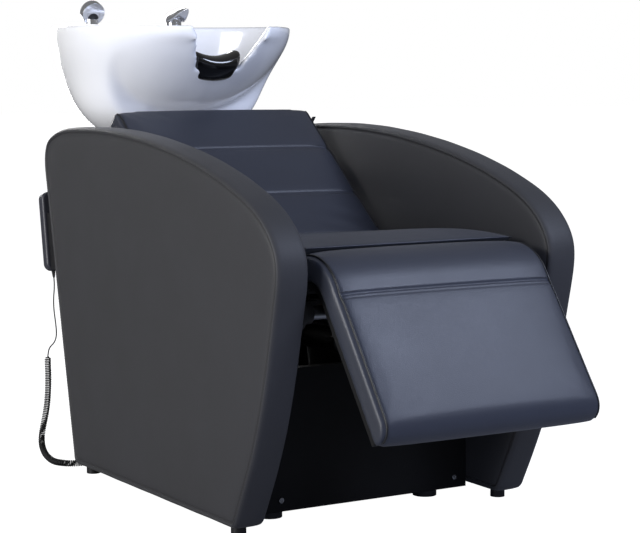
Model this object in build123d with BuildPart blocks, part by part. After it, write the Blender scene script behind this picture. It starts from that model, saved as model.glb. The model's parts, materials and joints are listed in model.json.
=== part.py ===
from build123d import *
import math
import os

# Hair washing bed: a chair between two upholstered side panels, with a powered
# leg rest at the front and a tilting ceramic basin at the back.
# Units are millimetres. +X right, +Z up, the leg rest points along -Y.
# The origin is on the floor under the middle of the object's box.

# Driving dimensions of the whole chair
overall_width = 690.0
cushion_width = 498.0
hinge_forward = 568.6
hinge_height = 440.3
basin_center_back = 455.0
rim_height = 988.0

# Clearances shared by the whole chair
soft_gap = 0.3
fit_gap = 0.05
face_gap = 1.0
overrun = 5.0
tiny = 1e-9
nut_sides = 6
eighth_turn = 45.0
quarter_turn = 90.0

# Side panels
panel_thickness = 69.0
panel_front_setback = 620.0
panel_length = 1023.0
panel_height = 739.5
panel_floor_gap = 20.5
cover_thickness = 9.0
panel_edge_round = 8.0
panel_corner_round = 14.0
# Shares of the panel's length and height, from the bottom front round the crest to the rear edge
panel_outline_shares = (
    (0.1613, 0.0),
    (0.0958, 0.1819),
    (0.0376, 0.4178),
    (0.0093, 0.5855),
    (0.0039, 0.7180),
    (0.0371, 0.7843),
    (0.1452, 0.8682),
    (0.3803, 0.9540),
    (0.6237, 0.9959),
    (0.8573, 1.0),
    (0.9267, 0.9905),
    (0.9687, 0.9730),
    (0.9912, 0.9540),
    (1.0, 0.9350),
    (0.9951, 0.8093),
)
panel_rear_foot_share = 0.8671
# Front, back, bottom and top of each opening between the core's studs
core_openings = (
    (-440.0, -230.0, 90.0, 580.0),
    (-190.0, 10.0, 90.0, 660.0),
    (50.0, 230.0, 90.0, 690.0),
)
outline_samples = 240
outline_step = 8

# Floor glides
glide_radius = 15.0
glide_front_shares = (0.20, 0.84)
foot_radius = 25.0
foot_height = 12.0
foot_spread = 188.0
foot_stem_radius = 5.0
foot_stem_length = 33.0

# Base frame between the panels
base_tube = 40.0
base_tube_wall = 2.5
base_tube_height = 25.0
base_front_back = -332.0
base_rear_back = 190.0
side_tube_width = 30.0
side_tube_inset = 12.0

# Front board and its screws
front_board_thickness = 18.0
front_board_bottom = 13.0
front_board_top = 300.0
board_screw_left = -177.0
board_screw_right = 245.0
board_screw_height = 36.0
screw_head_radius = 5.5
screw_head_height = 3.0
screw_radius = 2.5
screw_recess_radius = 2.4
screw_recess_depth = 1.4

# Rear cover
rear_cover_thickness = 6.0
rear_cover_inset = 10.0
rear_cover_length = 400.0
rear_cover_start = 12.0

# Seat
seat_front = -452.0
seat_board_top = 496.0
seat_tilt = 4.5
seat_board_length = 334.0
seat_board_thickness = 18.0
seat_rail_side = 30.0
seat_rail_wall = 2.0
seat_rail_spread = 160.0
seat_rail_length = 438.0
seat_rail_setback = 2.0
seat_lip_clearance = 2.0
seat_lip_angle = 81.7
seat_lip_height = 3.5
seat_lip_drop_share = 0.2
seat_crest_height = 568.0
seat_crest_back = -497.0
seat_middle_back = -300.0
seat_middle_height = 559.0
seat_rear_height = 540.0
seat_side_drop = 13.0

# Share of a cushion's crown in its side drop, and how square its sides are
crown_share = 0.22
side_power = 8

# Backrest
back_angle = 39.5
back_foot_back = -32.3
back_foot_height = 483.1
back_length = 412.0
back_tuck = 40.0
back_cushion_thickness = 75.0
back_board_thickness = 15.0
back_board_start = -18.0
back_board_margin = 10.0
back_seam_upper = 137.0
back_seam_lower = 285.0
back_valley = 2.5
back_corner = 12.0
back_corner_bulge_share = 0.3
back_side_drop = 11.0
back_top_crown = 4.0
back_rail_side = 30.0
back_rail_wall = 2.0
back_rail_length = 330.0
back_rail_start = 10.0
back_top_tube_start = 315.0
tag_width = 9.0
tag_height = 22.0
tag_thickness = 1.6
tag_drop = 26.0

# Leg rest, in its own slab frame: along the slab, then outwards
leg_angle = 54.5
leg_roll_radius = 115.0
leg_cushion_thickness = 57.0
leg_board_thickness = 15.0
leg_length = 313.0
leg_end_round = 40.0
leg_end_inner_round = 10.0
leg_seam = 23.0
leg_valley = 2.0
leg_roll_back_angle = 192.7
leg_side_drop = 12.0
leg_board_end_margin = 16.0
leg_board_side_margin = 8.0
leg_board_roll_trim = 4.0

# Leg rest shaft and frame
leg_shaft_radius = 14.0
leg_shaft_bore_wall = 3.0
leg_arm_spread = 150.0
leg_arm_thickness = 8.0
leg_arm_length = 200.0
leg_arm_tip = 12.0
leg_hub_radius = 26.0
bearing_flange_radius = 32.0
bearing_flange_thickness = 8.0
bearing_boss_radius = 21.0
bearing_boss_length = 22.0
bearing_end_gap = 1.0

# Crank and actuator
crank_radius = 60.0
crank_thickness = 10.0
crank_hub_radius = 24.0
crank_tip_radius = 13.0
crank_pin_radius = 6.0
crank_pin_length = 30.0
crank_rise = 15.0
fork_cheek_thickness = 6.0
fork_cheek_gap = 0.3
fork_cheek_border = 10.0
fork_slot_play = 1.3
fork_base_start = 30.0
fork_base_length = 14.0
fork_base_height = 30.0
rod_radius = 10.0
rod_length = 275.0
tube_start = 150.0
tube_length = 250.0
tube_radius = 18.0
tube_bore_radius = 12.0
tube_gland_length = 18.0
gearbox_length = 60.0
gearbox_width = 60.0
gearbox_height = 100.0
gearbox_above = 30.0
gearbox_round = 6.0
motor_radius = 25.0
motor_length = 135.0
motor_drop = 46.0
eye_length = 40.0
eye_thickness = 20.0
eye_radius = 14.0
eye_pin_radius = 5.0
eye_pin_back = 26.0
bracket_ear_thickness = 6.0
bracket_plate_thickness = 6.0
bracket_width = 60.0
seat_rear_tube_back = -44.0
seat_front_tube_back = -428.0

# Control box and power inlet
control_box_size = (45.0, 150.0, 80.0)
control_box_back = 20.0
control_box_height = 190.0
control_box_round = 5.0
inlet_width = 50.0
inlet_height = 28.0
inlet_plate_thickness = 3.0
inlet_body_width = 30.0
inlet_body_height = 22.0
inlet_body_depth = 26.0
inlet_slot_width = 22.0
inlet_slot_height = 15.0
inlet_slot_depth = 16.0
inlet_along = 75.0
inlet_side = 150.0

# Handset, its bracket and its buttons
handset_side = -310.0
handset_lean = 9.0
handset_back = 417.0
handset_foot_height = 434.0
handset_width = 50.0
handset_depth = 25.0
handset_height = 180.0
handset_corner = 17.0
handset_edge = 6.0
handset_panel_margin = 7.0
handset_panel_thickness = 1.2
button_radius = 8.0
button_height = 3.2
button_travel = 1.0
button_pitch = 34.0
button_center_up = 120.0
button_play = 0.3
holder_width = 34.0
holder_bottom = 4.0
holder_top = 132.0
relief_radius_top = 4.6
relief_radius_end = 2.6
relief_length = 15.0
relief_side = -316.0
lead_first_run = 20.0

# Cords
cord_radius = 1.5
curl_mean_radius = 6.0
curl_pitch = 4.05
curl_ramp_turns = 1.5
curl_end_run = 3.5
curl_check_turns = 2
gland_radius = 6.0
gland_length = 16.0
gland_along = 34.0
gland_side = -208.0
# Points of the handset's lead, the curled stretch and the tail, before the datum is added
lead_points = (
    (-317.3, 428.3, 370.0),
    (-316.6, 428.6, 342.0),
    (-313.4, 426.4, 312.0),
    (-312.2, 424.4, 285.0),
    (-316.6, 427.4, 267.5),
    (-327.4, 434.6, 256.0),
    (-329.0, 437.2, 240.3),
)
curl_points = (
    (-329.0, 437.2, 240.0),
    (-329.6, 438.4, 226.0),
    (-328.6, 438.0, 198.0),
    (-329.0, 438.6, 164.0),
    (-331.0, 440.0, 130.0),
    (-335.0, 442.0, 101.0),
    (-340.5, 443.0, 76.0),
    (-346.0, 440.0, 55.0),
    (-351.0, 430.0, 37.0),
    (-354.0, 412.0, 23.0),
    (-355.0, 388.0, 13.5),
    (-352.0, 362.0, 7.9),
    (-344.0, 338.0, 7.9),
    (-328.0, 321.0, 7.9),
    (-305.0, 314.0, 7.9),
    (-288.0, 312.0, 7.9),
)
tail_points = (
    (-287.7, 312.0, 7.9),
    (-276.0, 310.6, 7.2),
    (-257.0, 309.2, 5.2),
    (-238.0, 309.0, 9.0),
    (-221.0, 308.0, 21.0),
    (-211.0, 303.0, 36.0),
)
gland_run = 14.0

# Basin
basin_half_width = 265.0
basin_half_length = 325.0
basin_bottom = 722.0
# Height, share of the width, share of the length and backward shift of each outer section
basin_outer_sections = (
    (988.0, 1.0, 1.0, 0.0),
    (962.0, 0.996, 0.996, 4.0),
    (930.0, 0.970, 0.966, 11.0),
    (890.0, 0.918, 0.900, 21.0),
    (845.0, 0.858, 0.785, 27.0),
    (800.0, 0.788, 0.657, 25.0),
    (762.0, 0.665, 0.540, 29.0),
    (722.0, 0.440, 0.440, 45.0),
)
# Height, half width, half length and centre of each section of the bowl's inside
bowl_sections = (
    (988.0, 236.0, 222.0, 375.0),
    (950.0, 226.0, 208.0, 385.0),
    (900.0, 204.0, 180.0, 408.0),
    (850.0, 168.0, 143.0, 434.0),
    (812.0, 118.0, 100.0, 455.0),
    (790.0, 52.0, 48.0, 470.0),
)
basin_wall = 12.0
cavity_start_back = 390.0
rim_round = 6.0
notch_half_width_top = 98.0
notch_half_width_bottom = 52.0
notch_floor = 888.0
notch_depth = 330.0
scoop_center_back = 205.0
scoop_center_height = 787.0
scoop_radius = 168.0
drain_back = 470.0
drain_radius = 24.0

# Neck rest
neck_back = 247.0
neck_half_width = 66.0
neck_depth = 58.0
neck_place_shares = (-1.0, -0.55, 0.0, 0.55, 1.0)
neck_thickness = 30.0
neck_horn = 20.0
neck_end_draw = 6.0
neck_edge_thin = 9.0
neck_side_slope = 11.0
neck_base_rise = 14.0

# Basin mount and tilt
hose_slot_back = 554.0
hose_slot_width = 168.0
hose_slot_length = 48.0
plate_thickness = 8.0
plate_half_width = 112.0
plate_half_length = 138.0
pivot_back = 400.0
pivot_height = 688.0
lug_spread = 34.0
lug_thickness = 8.0
lug_radius = 15.0
tilt_ear_thickness = 6.0
tilt_ear_gap = 0.4
tilt_pin_radius = 8.0
tilt_pin_overhang = 26.0
tilt_lever_radius = 14.0
tilt_lever_thickness = 10.0
tilt_lever_length = 92.0
tilt_lever_grip_radius = 7.0
tilt_lever_grip_length = 50.0
tilt_lever_angle = 35.0
column_side = 50.0
column_wall = 3.0
column_back = 210.0
arm_height = 595.0
arm_end_back = 440.0
column_plate = 8.0
column_plate_side = 90.0

# Drain
strainer_seat_depth = 2.5
strainer_radius = 20.5
strainer_thickness = 2.0
strainer_stem_radius = 5.0
strainer_stem_length = 12.0
strainer_hole_radius = 2.2
strainer_hole_circle = 9.5
strainer_hole_count = 8
waste_body_end = 754.0
waste_flange_radius = 31.0
waste_flange_thickness = 2.0
waste_tail_radius = 16.0
waste_bore_radius = 13.0
waste_tail_end = 655.0
waste_nut_radius = 33.0
waste_nut_height = 12.0
waste_hose_radius = 15.0
waste_neck_radius = 17.0
waste_outlet_radius = 20.0
waste_outlet_length = 37.6
hose_end_gap = 0.6
pipe_rail_drop = 18.0
pipe_rail_thickness = 5.0
waste_hose_points = (
    (0.0, 470.0, 654.4),
    (0.0, 471.5, 611.0),
    (4.0, 462.0, 566.0),
    (26.0, 428.0, 528.0),
    (52.0, 380.0, 497.0),
    (72.0, 332.0, 466.0),
    (85.0, 286.0, 427.0),
    (93.0, 250.0, 377.0),
    (98.0, 228.0, 320.0),
    (101.0, 216.0, 262.0),
    (103.0, 211.0, 204.0),
    (103.0, 209.0, 150.0),
)

# Mixer tap and hand shower
tap_side = 110.0
tap_back = 650.0
mixer_base_radius = 24.0
mixer_base_height = 6.0
mixer_body_radius = 19.0
mixer_body_height = 14.0
mixer_tail_radius = 15.0
mixer_tail_length = 46.0
mixer_nut_radius = 22.0
mixer_nut_height = 8.0
mixer_hub_radius = 18.0
mixer_hub_height = 11.0
mixer_play = 0.3
lever_corner_round = 1.5
lever_bow_share = 0.28
lever_width = 24.0
lever_root_thickness = 9.0
lever_tip_thickness = 4.0
lever_reach = 76.0
lever_rise = 25.0
lever_barrel_radius = 3.5
collar_radius = 22.0
collar_height = 4.0
collar_socket_depth = 26.0
collar_play = 0.3
collar_nut_radius = 26.0
collar_tail_radius = 19.0
collar_tail_length = 45.0
shower_stem_radius = 15.0
shower_stem_length = 44.0
shower_hose_drop = 110.0
shower_head_radius = 28.0
shower_head_length = 26.0
shower_head_lift = 35.5
shower_head_tilt = 24.0
shower_back_share = 0.7
shower_face_radius = 15.0
shower_face_recess = 2.0
hose_radius = 6.0
hose_nut_radius = 9.0
hose_nut_length = 40.0
supply_root_step = 7.5
supply_end_step = 10.5
supply_points = (
    (110.0, 645.5, 941.4),
    (109.0, 644.0, 900.0),
    (101.0, 632.0, 862.0),
    (88.0, 604.0, 830.0),
    (74.0, 578.0, 794.0),
    (66.0, 560.0, 752.0),
    (68.0, 548.0, 706.0),
    (84.0, 530.0, 662.0),
    (112.0, 500.0, 624.0),
    (142.0, 458.0, 590.0),
    (165.0, 408.0, 556.0),
    (180.0, 356.0, 520.0),
    (188.0, 306.0, 480.0),
    (191.0, 262.0, 432.0),
    (191.0, 236.0, 376.0),
    (190.0, 224.0, 318.0),
    (190.5, 220.0, 262.0),
    (190.0, 218.0, 206.0),
    (190.0, 218.5, 150.0),
)
shower_hose_points = (
    (-109.0, 649.0, 826.0),
    (-98.0, 640.0, 800.0),
    (-76.0, 626.0, 781.0),
    (-42.0, 617.0, 772.0),
    (-4.0, 615.0, 770.0),
    (34.0, 617.0, 777.0),
    (68.0, 627.0, 796.0),
    (90.0, 642.0, 824.0),
    (104.5, 653.0, 858.0),
    (109.5, 658.5, 898.0),
    (110.0, 658.5, 941.4),
)

# Datum: the chair's own zero lies under the seat's rear end, and this shift centres the box
leg_sine = math.sin(math.radians(leg_angle))
leg_cosine = math.cos(math.radians(leg_angle))
leg_reach = (
    (leg_length - leg_end_round) * leg_cosine
    + (leg_roll_radius - leg_end_round) * leg_sine
    + leg_end_round
)
front_reach = hinge_forward + leg_reach
rear_reach = basin_center_back + basin_half_length
datum_y = (front_reach - rear_reach) / 2

half_width = overall_width / 2
inner_face = half_width - panel_thickness
cushion_half_width = cushion_width / 2
hinge_y = datum_y - hinge_forward


def spot(x, back, height):
    """Turn a place in the chair's own measures into the part's frame."""
    return (x, datum_y + back, height)


def side_plane(x, back=0.0, height=0.0):
    """Upright plane across X: local x is backwards, local y is up."""
    return Plane(origin=spot(x, back, height), x_dir=(0, 1, 0), z_dir=(1, 0, 0))


def leaning_plane(x, back, height, angle):
    """Plane across X whose local x runs backwards and up at the angle, local y outwards from it."""
    turn = math.radians(angle)
    direction = (0, math.cos(turn), math.sin(turn))
    return Plane(origin=spot(x, back, height), x_dir=direction, z_dir=(1, 0, 0))


def slab_plane(x):
    """Plane across X at the leg rest's shaft: local x runs down the slab, local y outwards."""
    direction = (0, -leg_cosine, -leg_sine)
    return Plane(origin=(x, hinge_y, hinge_height), x_dir=direction, z_dir=(-1, 0, 0))


def polar(radius, angle):
    """A point at the radius and the angle in degrees."""
    return (radius * math.cos(math.radians(angle)), radius * math.sin(math.radians(angle)))


def finish(solid, label):
    """Label the piece and write its file."""
    solid.label = label
    export_step(solid, f"parts/{label}.step")


def corner_radii(points):
    """Radii of a cord's arcs: 0.45 of the shorter run over the tangent of half the turn."""
    run_share = 0.45
    radii = []
    for before, here, after in zip(points, points[1:], points[2:]):
        first = Vector(*here) - Vector(*before)
        second = Vector(*after) - Vector(*here)
        half_turn = math.radians(first.get_angle(second)) / 2
        radii.append(run_share * min(first.length, second.length) / math.tan(half_turn))
    return radii


def cord_tube(points, radius, name):
    """Sweep a round cord along straight runs joined by tangent arcs."""
    placed = [spot(*point) for point in points]
    radii = corner_radii(placed)
    print(name, "arc radii", [round(value, 1) for value in radii])
    with BuildLine() as path:
        FilletPolyline(*placed, radius=radii)
    with BuildSketch(Plane(origin=path.line @ 0, z_dir=path.line % 0)) as profile:
        Circle(radius)
    sweep(profile.sketch, path=path.line)
    length = path.wires()[0].length
    print(name, "length", round(length, 1), "volume by length", round(math.pi * radius**2 * length, 1))


def square_tube(length, width, height, wall):
    """A hollow rectangular tube along X, centred on the present location."""
    Box(length, width, height)
    Box(length + 2 * overrun, width - 2 * wall, height - 2 * wall, mode=Mode.SUBTRACT)


def panel_outline(plane, inset):
    """Face of the side panel's outline on the plane, drawn in by the inset."""
    points = [
        (-panel_front_setback + along * panel_length, panel_floor_gap + up * panel_height)
        for along, up in panel_outline_shares
    ]
    rear_foot = (-panel_front_setback + panel_rear_foot_share * panel_length, panel_floor_gap)
    rear_slope = (rear_foot[0] - points[-1][0], rear_foot[1] - points[-1][1])
    front_slope = (points[1][0] - points[0][0], points[1][1] - points[0][1])
    if inset:
        with BuildLine() as crest:
            Spline(*points, tangents=(front_slope, rear_slope))
        drawn_in = []
        for index in range(outline_samples + 1):
            share = index / outline_samples
            place = crest.line @ share
            heading = crest.line % share
            drawn_in.append((place.X + heading.Y * inset, place.Y - heading.X * inset))
        low = panel_floor_gap + inset
        while drawn_in[1][1] < low:
            drawn_in.pop(0)
        rise_share = (low - drawn_in[0][1]) / (drawn_in[1][1] - drawn_in[0][1])
        front_foot = drawn_in[0][0] + rise_share * (drawn_in[1][0] - drawn_in[0][0])
        points = [(front_foot, low)] + drawn_in[outline_step::outline_step]
        if points[-1] != drawn_in[-1]:
            points.append(drawn_in[-1])
        slope_share = (points[-1][1] - low) / (-rear_slope[1])
        rear_foot = (points[-1][0] + slope_share * rear_slope[0], low)
        front_slope = (drawn_in[2][0] - drawn_in[1][0], drawn_in[2][1] - drawn_in[1][1])
    with BuildSketch(plane) as outline:
        with BuildLine():
            Spline(*points, tangents=(front_slope, rear_slope))
            Line(points[-1], rear_foot)
            Line(rear_foot, points[0])
        make_face()
        fillet(outline.vertices().sort_by(Axis.Y)[:2], radius=panel_corner_round - inset)
    return outline.sketch


os.makedirs("parts", exist_ok=True)


# Side panels
def make_panel(side, name):
    """Core, two face covers and the edge band of one side panel."""
    outer = side * half_width
    start = min(outer, outer - side * panel_thickness)
    with BuildPart() as core:
        face = panel_outline(side_plane(start + cover_thickness), cover_thickness)
        extrude(face, amount=panel_thickness - 2 * cover_thickness)
        for front, back, bottom, top in core_openings:
            with Locations(spot(start + cover_thickness, front, bottom)):
                Box(
                    panel_thickness - 2 * cover_thickness,
                    back - front,
                    top - bottom,
                    align=(Align.MIN, Align.MIN, Align.MIN),
                    mode=Mode.SUBTRACT,
                )
    finish(core.part, name + "_panel_core")

    with BuildPart() as covers:
        for base in (start, start + panel_thickness - cover_thickness):
            extrude(panel_outline(side_plane(base), cover_thickness), amount=cover_thickness)
    finish(covers.part, name + "_panel_covers")

    with BuildPart() as band:
        extrude(panel_outline(side_plane(start), 0), amount=panel_thickness)
        rims = band.faces().filter_by(Axis.X).edges()
        fillet(rims, radius=panel_edge_round)
        opening = panel_outline(side_plane(start - overrun), cover_thickness)
        extrude(opening, amount=panel_thickness + 2 * overrun, mode=Mode.SUBTRACT)
    finish(band.part, name + "_edge_band")


make_panel(-1, "left")
make_panel(1, "right")


# Floor glides under the panels and feet under the boards
panel_middle = half_width - panel_thickness / 2
foot_front_back = base_front_back + foot_radius / 2 - foot_stem_radius
foot_rear_back = base_rear_back + base_tube / 2
foot_places = [
    spot(side * foot_spread, back, 0)
    for side in (-1, 1)
    for back in (foot_front_back, foot_rear_back)
]
with BuildPart() as floor_glides:
    for place_share in glide_front_shares:
        back = -panel_front_setback + place_share * panel_length
        with Locations(spot(-panel_middle, back, 0), spot(panel_middle, back, 0)):
            Cylinder(glide_radius, panel_floor_gap, align=(Align.CENTER, Align.CENTER, Align.MIN))
    with Locations(*foot_places):
        Cylinder(foot_radius, foot_height, align=(Align.CENTER, Align.CENTER, Align.MIN))
        Cylinder(
            foot_stem_radius,
            foot_height + foot_stem_length,
            align=(Align.CENTER, Align.CENTER, Align.MIN),
        )
finish(floor_glides.part, "floor_glides")


# Base frame
base_span = 2 * inner_face
base_mid_height = base_tube_height + base_tube / 2
with BuildPart() as base_cross_tubes:
    with Locations(
        spot(0, base_front_back + base_tube / 2, base_mid_height),
        spot(0, base_rear_back + base_tube / 2, base_mid_height),
    ):
        square_tube(base_span, base_tube, base_tube, base_tube_wall)
    with Locations(*[(x, y, base_tube_height) for x, y, z in foot_places]):
        Cylinder(foot_stem_radius, base_tube, mode=Mode.SUBTRACT)
finish(base_cross_tubes.part, "base_cross_tubes")

side_tube_length = base_rear_back - base_front_back - base_tube
side_tube_middle = (base_rear_back + base_front_back + base_tube) / 2
side_tube_x = inner_face - side_tube_inset - side_tube_width / 2
with BuildPart() as base_side_tubes:
    with Locations(
        spot(-side_tube_x, side_tube_middle, base_mid_height),
        spot(side_tube_x, side_tube_middle, base_mid_height),
    ):
        Box(side_tube_width, side_tube_length, base_tube)
        Box(
            side_tube_width - 2 * base_tube_wall,
            side_tube_length + 2 * overrun,
            base_tube - 2 * base_tube_wall,
            mode=Mode.SUBTRACT,
        )
finish(base_side_tubes.part, "base_side_tubes")


# Front board and its screws
front_face_back = base_front_back - front_board_thickness
screw_places = [
    spot(board_screw_left, front_face_back, board_screw_height),
    spot(board_screw_right, front_face_back, board_screw_height),
]
with BuildPart() as front_board:
    with Locations(spot(0, front_face_back, front_board_bottom)):
        Box(
            base_span,
            front_board_thickness,
            front_board_top - front_board_bottom,
            align=(Align.CENTER, Align.MIN, Align.MIN),
        )
    for place in screw_places:
        with BuildSketch(Plane(origin=place, z_dir=(0, 1, 0))):
            Circle(screw_radius)
        extrude(amount=front_board_thickness, mode=Mode.SUBTRACT)
finish(front_board.part, "front_board")

with BuildPart() as front_board_screws:
    for place in screw_places:
        head_plane = Plane(origin=place, z_dir=(0, -1, 0))
        with BuildSketch(head_plane):
            Circle(screw_head_radius)
        extrude(amount=screw_head_height)
        with BuildSketch(head_plane.offset(screw_head_height)):
            RegularPolygon(screw_recess_radius, nut_sides)
        extrude(amount=-screw_recess_depth, mode=Mode.SUBTRACT)
        with BuildSketch(head_plane):
            Circle(screw_radius)
        extrude(amount=-front_board_thickness)
finish(front_board_screws.part, "front_board_screws")


# Rear cover, leaning with the panels' rear edge
rear_foot_back = -panel_front_setback + panel_rear_foot_share * panel_length
rear_top_back = -panel_front_setback + panel_outline_shares[-1][0] * panel_length
rear_rise = panel_outline_shares[-1][1] * panel_height
rear_lean = math.degrees(math.atan2(rear_top_back - rear_foot_back, rear_rise))
cover_angle = quarter_turn - rear_lean
cover_base_back = rear_foot_back - rear_cover_inset / math.cos(math.radians(rear_lean))


def cover_plane(x, along, outward=0.0):
    """Plane on the rear cover's outer face: local x across, local y up the cover, z outwards."""
    turn = math.radians(cover_angle)
    up = Vector(0, math.cos(turn), math.sin(turn))
    out = Vector(0, math.sin(turn), -math.cos(turn))
    origin = Vector(*spot(x, cover_base_back, panel_floor_gap)) + up * along + out * outward
    return Plane(origin=origin, x_dir=(-1, 0, 0), z_dir=out)


gland_plane = cover_plane(gland_side, gland_along)
inlet_plane = cover_plane(inlet_side, inlet_along)
with BuildPart() as rear_cover:
    cover_middle = rear_cover_start + rear_cover_length / 2
    with BuildSketch(cover_plane(0, cover_middle)):
        Rectangle(base_span, rear_cover_length)
    extrude(amount=-rear_cover_thickness)
    with BuildSketch(gland_plane):
        Circle(cord_radius)
    extrude(amount=-rear_cover_thickness, mode=Mode.SUBTRACT)
    with BuildSketch(inlet_plane):
        Rectangle(inlet_body_width, inlet_body_height)
    extrude(amount=-rear_cover_thickness, mode=Mode.SUBTRACT)
finish(rear_cover.part, "rear_cover")


# Seat frame, tilted with the seat
seat_tilt_rise = math.tan(math.radians(seat_tilt))
seat_frame_plane = leaning_plane(0, seat_front, seat_board_top, -seat_tilt)
rail_drop = seat_board_thickness + seat_rail_side
seat_rail_middle = seat_rail_setback + seat_rail_length / 2
rail_vertical = rail_drop / math.cos(math.radians(seat_tilt))


def board_height(back):
    """Height of the seat board's top at a place along the chair."""
    return seat_board_top - (back - seat_front) * seat_tilt_rise


def seat_tube_height(back):
    """Height of a cross tube's centre, so that its top meets the rails' underside."""
    far_edge = back + seat_rail_side / 2
    return board_height(far_edge) - rail_vertical - seat_rail_side / 2


with BuildPart() as seat_rails:
    for side in (-1, 1):
        rail_plane = seat_frame_plane.offset(side * seat_rail_spread - seat_rail_side / 2)
        with BuildSketch(rail_plane):
            with Locations((seat_rail_middle, -seat_board_thickness - seat_rail_side / 2)):
                Rectangle(seat_rail_length, seat_rail_side)
        extrude(amount=seat_rail_side)
        with BuildSketch(rail_plane.offset(seat_rail_wall)):
            with Locations((seat_rail_middle, -seat_board_thickness - seat_rail_side / 2)):
                Rectangle(seat_rail_length + 2 * overrun, seat_rail_side - 2 * seat_rail_wall)
        extrude(amount=seat_rail_side - 2 * seat_rail_wall, mode=Mode.SUBTRACT)
finish(seat_rails.part, "seat_rails")

with BuildPart() as seat_cross_tubes:
    for back in (seat_front_tube_back, seat_rear_tube_back):
        with Locations(spot(0, back, seat_tube_height(back))):
            square_tube(base_span, seat_rail_side, seat_rail_side, seat_rail_wall)
finish(seat_cross_tubes.part, "seat_cross_tubes")

with BuildPart() as seat_board:
    with BuildSketch(leaning_plane(-cushion_half_width, seat_front, seat_board_top, -seat_tilt)):
        with Locations((seat_board_length / 2, -seat_board_thickness / 2)):
            Rectangle(seat_board_length, seat_board_thickness)
    extrude(amount=cushion_width)
finish(seat_board.part, "seat_board")


# Cushions, lofted through sections across the chair
station_shares = (-1.0, -0.965, -0.86, -0.55, 0.0, 0.55, 0.86, 0.965, 1.0)


def edge_fall(station_share):
    """How far towards the side edge a section has dropped, from 0 in the middle to 1."""
    return 1 - math.sqrt(max(0.0, 1 - abs(station_share) ** side_power))


def crown_fall(station_share, side_drop):
    """Drop of a section's top: a slight crown, and a rounded side."""
    fall = edge_fall(station_share) * (1 - crown_share) + station_share**2 * crown_share
    return side_drop * fall


lip_radius = leg_roll_radius + seat_lip_clearance
back_cosine = math.cos(math.radians(back_angle))
back_sine = math.sin(math.radians(back_angle))
back_face_back = back_foot_back - back_cushion_thickness * back_sine
back_face_height = back_foot_height + back_cushion_thickness * back_cosine


def on_back_face(height):
    """Place along the chair where the backrest's front face stands at a height."""
    return back_face_back + (height - back_face_height) * back_cosine / back_sine


def lip_root():
    """Where the lip's hollow under the seat meets the plane just above the seat board."""
    rise = board_height(-hinge_forward) + soft_gap - hinge_height
    tilted = math.asin(rise * math.cos(math.radians(seat_tilt)) / lip_radius)
    angle = math.degrees(tilted) - seat_tilt
    root = polar(lip_radius, angle)
    return (-hinge_forward + root[0], hinge_height + root[1]), angle


seat_rear_low_height = board_height(seat_front + seat_board_length)
with BuildPart() as seat_cushion:
    for station in station_shares:
        drop = crown_fall(station, seat_side_drop)
        root, root_angle = lip_root()
        tip = polar(lip_radius, seat_lip_angle)
        bend = polar(lip_radius, (seat_lip_angle + root_angle) / 2)
        low_front = root
        lip_mid = (-hinge_forward + bend[0], hinge_height + bend[1])
        lip_low = (-hinge_forward + tip[0], hinge_height + tip[1])
        lip_top = (lip_low[0], lip_low[1] + seat_lip_height - drop * seat_lip_drop_share)
        crest = (seat_crest_back, seat_crest_height - drop)
        middle = (seat_middle_back, seat_middle_height - drop)
        rear_top_height = seat_rear_height - drop
        rear_top = (on_back_face(rear_top_height) - face_gap, rear_top_height)
        rear_low_back = on_back_face(seat_rear_low_height) - face_gap
        rear_low = (rear_low_back, board_height(rear_low_back) + soft_gap)
        with BuildSketch(side_plane(station * cushion_half_width)):
            with BuildLine():
                ThreePointArc(low_front, lip_mid, lip_low)
                Line(lip_low, lip_top)
                Spline(lip_top, crest, middle, rear_top)
                Line(rear_top, rear_low)
                Line(rear_low, low_front)
            make_face()
    loft()
finish(seat_cushion.part, "seat_cushion")


# Backrest
with BuildPart() as back_board:
    board_length = back_length - back_board_start - back_board_margin
    plane = leaning_plane(-cushion_half_width, back_foot_back, back_foot_height, back_angle)
    with BuildSketch(plane):
        with Locations((back_board_start + board_length / 2, -back_board_thickness / 2)):
            Rectangle(board_length, back_board_thickness)
    extrude(amount=cushion_width)
finish(back_board.part, "back_board")

with BuildPart() as back_cushion:
    for station in station_shares:
        drop = crown_fall(station, back_side_drop)
        top_end = back_length + back_top_crown * (1 - station**2)
        plane = leaning_plane(
            station * cushion_half_width, back_foot_back, back_foot_height, back_angle
        )
        face = back_cushion_thickness - drop
        corner = face - back_corner
        upper_seam = back_length - back_seam_upper
        lower_seam = back_length - back_seam_lower
        head = top_end - back_corner
        foot = -back_tuck + back_corner
        bulge = back_corner * back_corner_bulge_share
        with BuildSketch(plane):
            with BuildLine():
                Line((-back_tuck, soft_gap), (top_end, soft_gap))
                Line((top_end, soft_gap), (top_end, corner))
                ThreePointArc(
                    (top_end, corner),
                    (top_end - bulge, face - bulge),
                    (head, face),
                )
                ThreePointArc(
                    (head, face),
                    ((head + upper_seam) / 2, face + back_valley / 2),
                    (upper_seam, face - back_valley),
                )
                ThreePointArc(
                    (upper_seam, face - back_valley),
                    ((upper_seam + lower_seam) / 2, face),
                    (lower_seam, face - back_valley),
                )
                ThreePointArc(
                    (lower_seam, face - back_valley),
                    ((lower_seam + foot) / 2, face),
                    (foot, face - back_valley),
                )
                ThreePointArc(
                    (foot, face - back_valley),
                    (bulge - back_tuck, face - back_valley - bulge),
                    (-back_tuck, corner),
                )
                Line((-back_tuck, corner), (-back_tuck, soft_gap))
            make_face()
    loft()
finish(back_cushion.part, "back_cushion")

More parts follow.
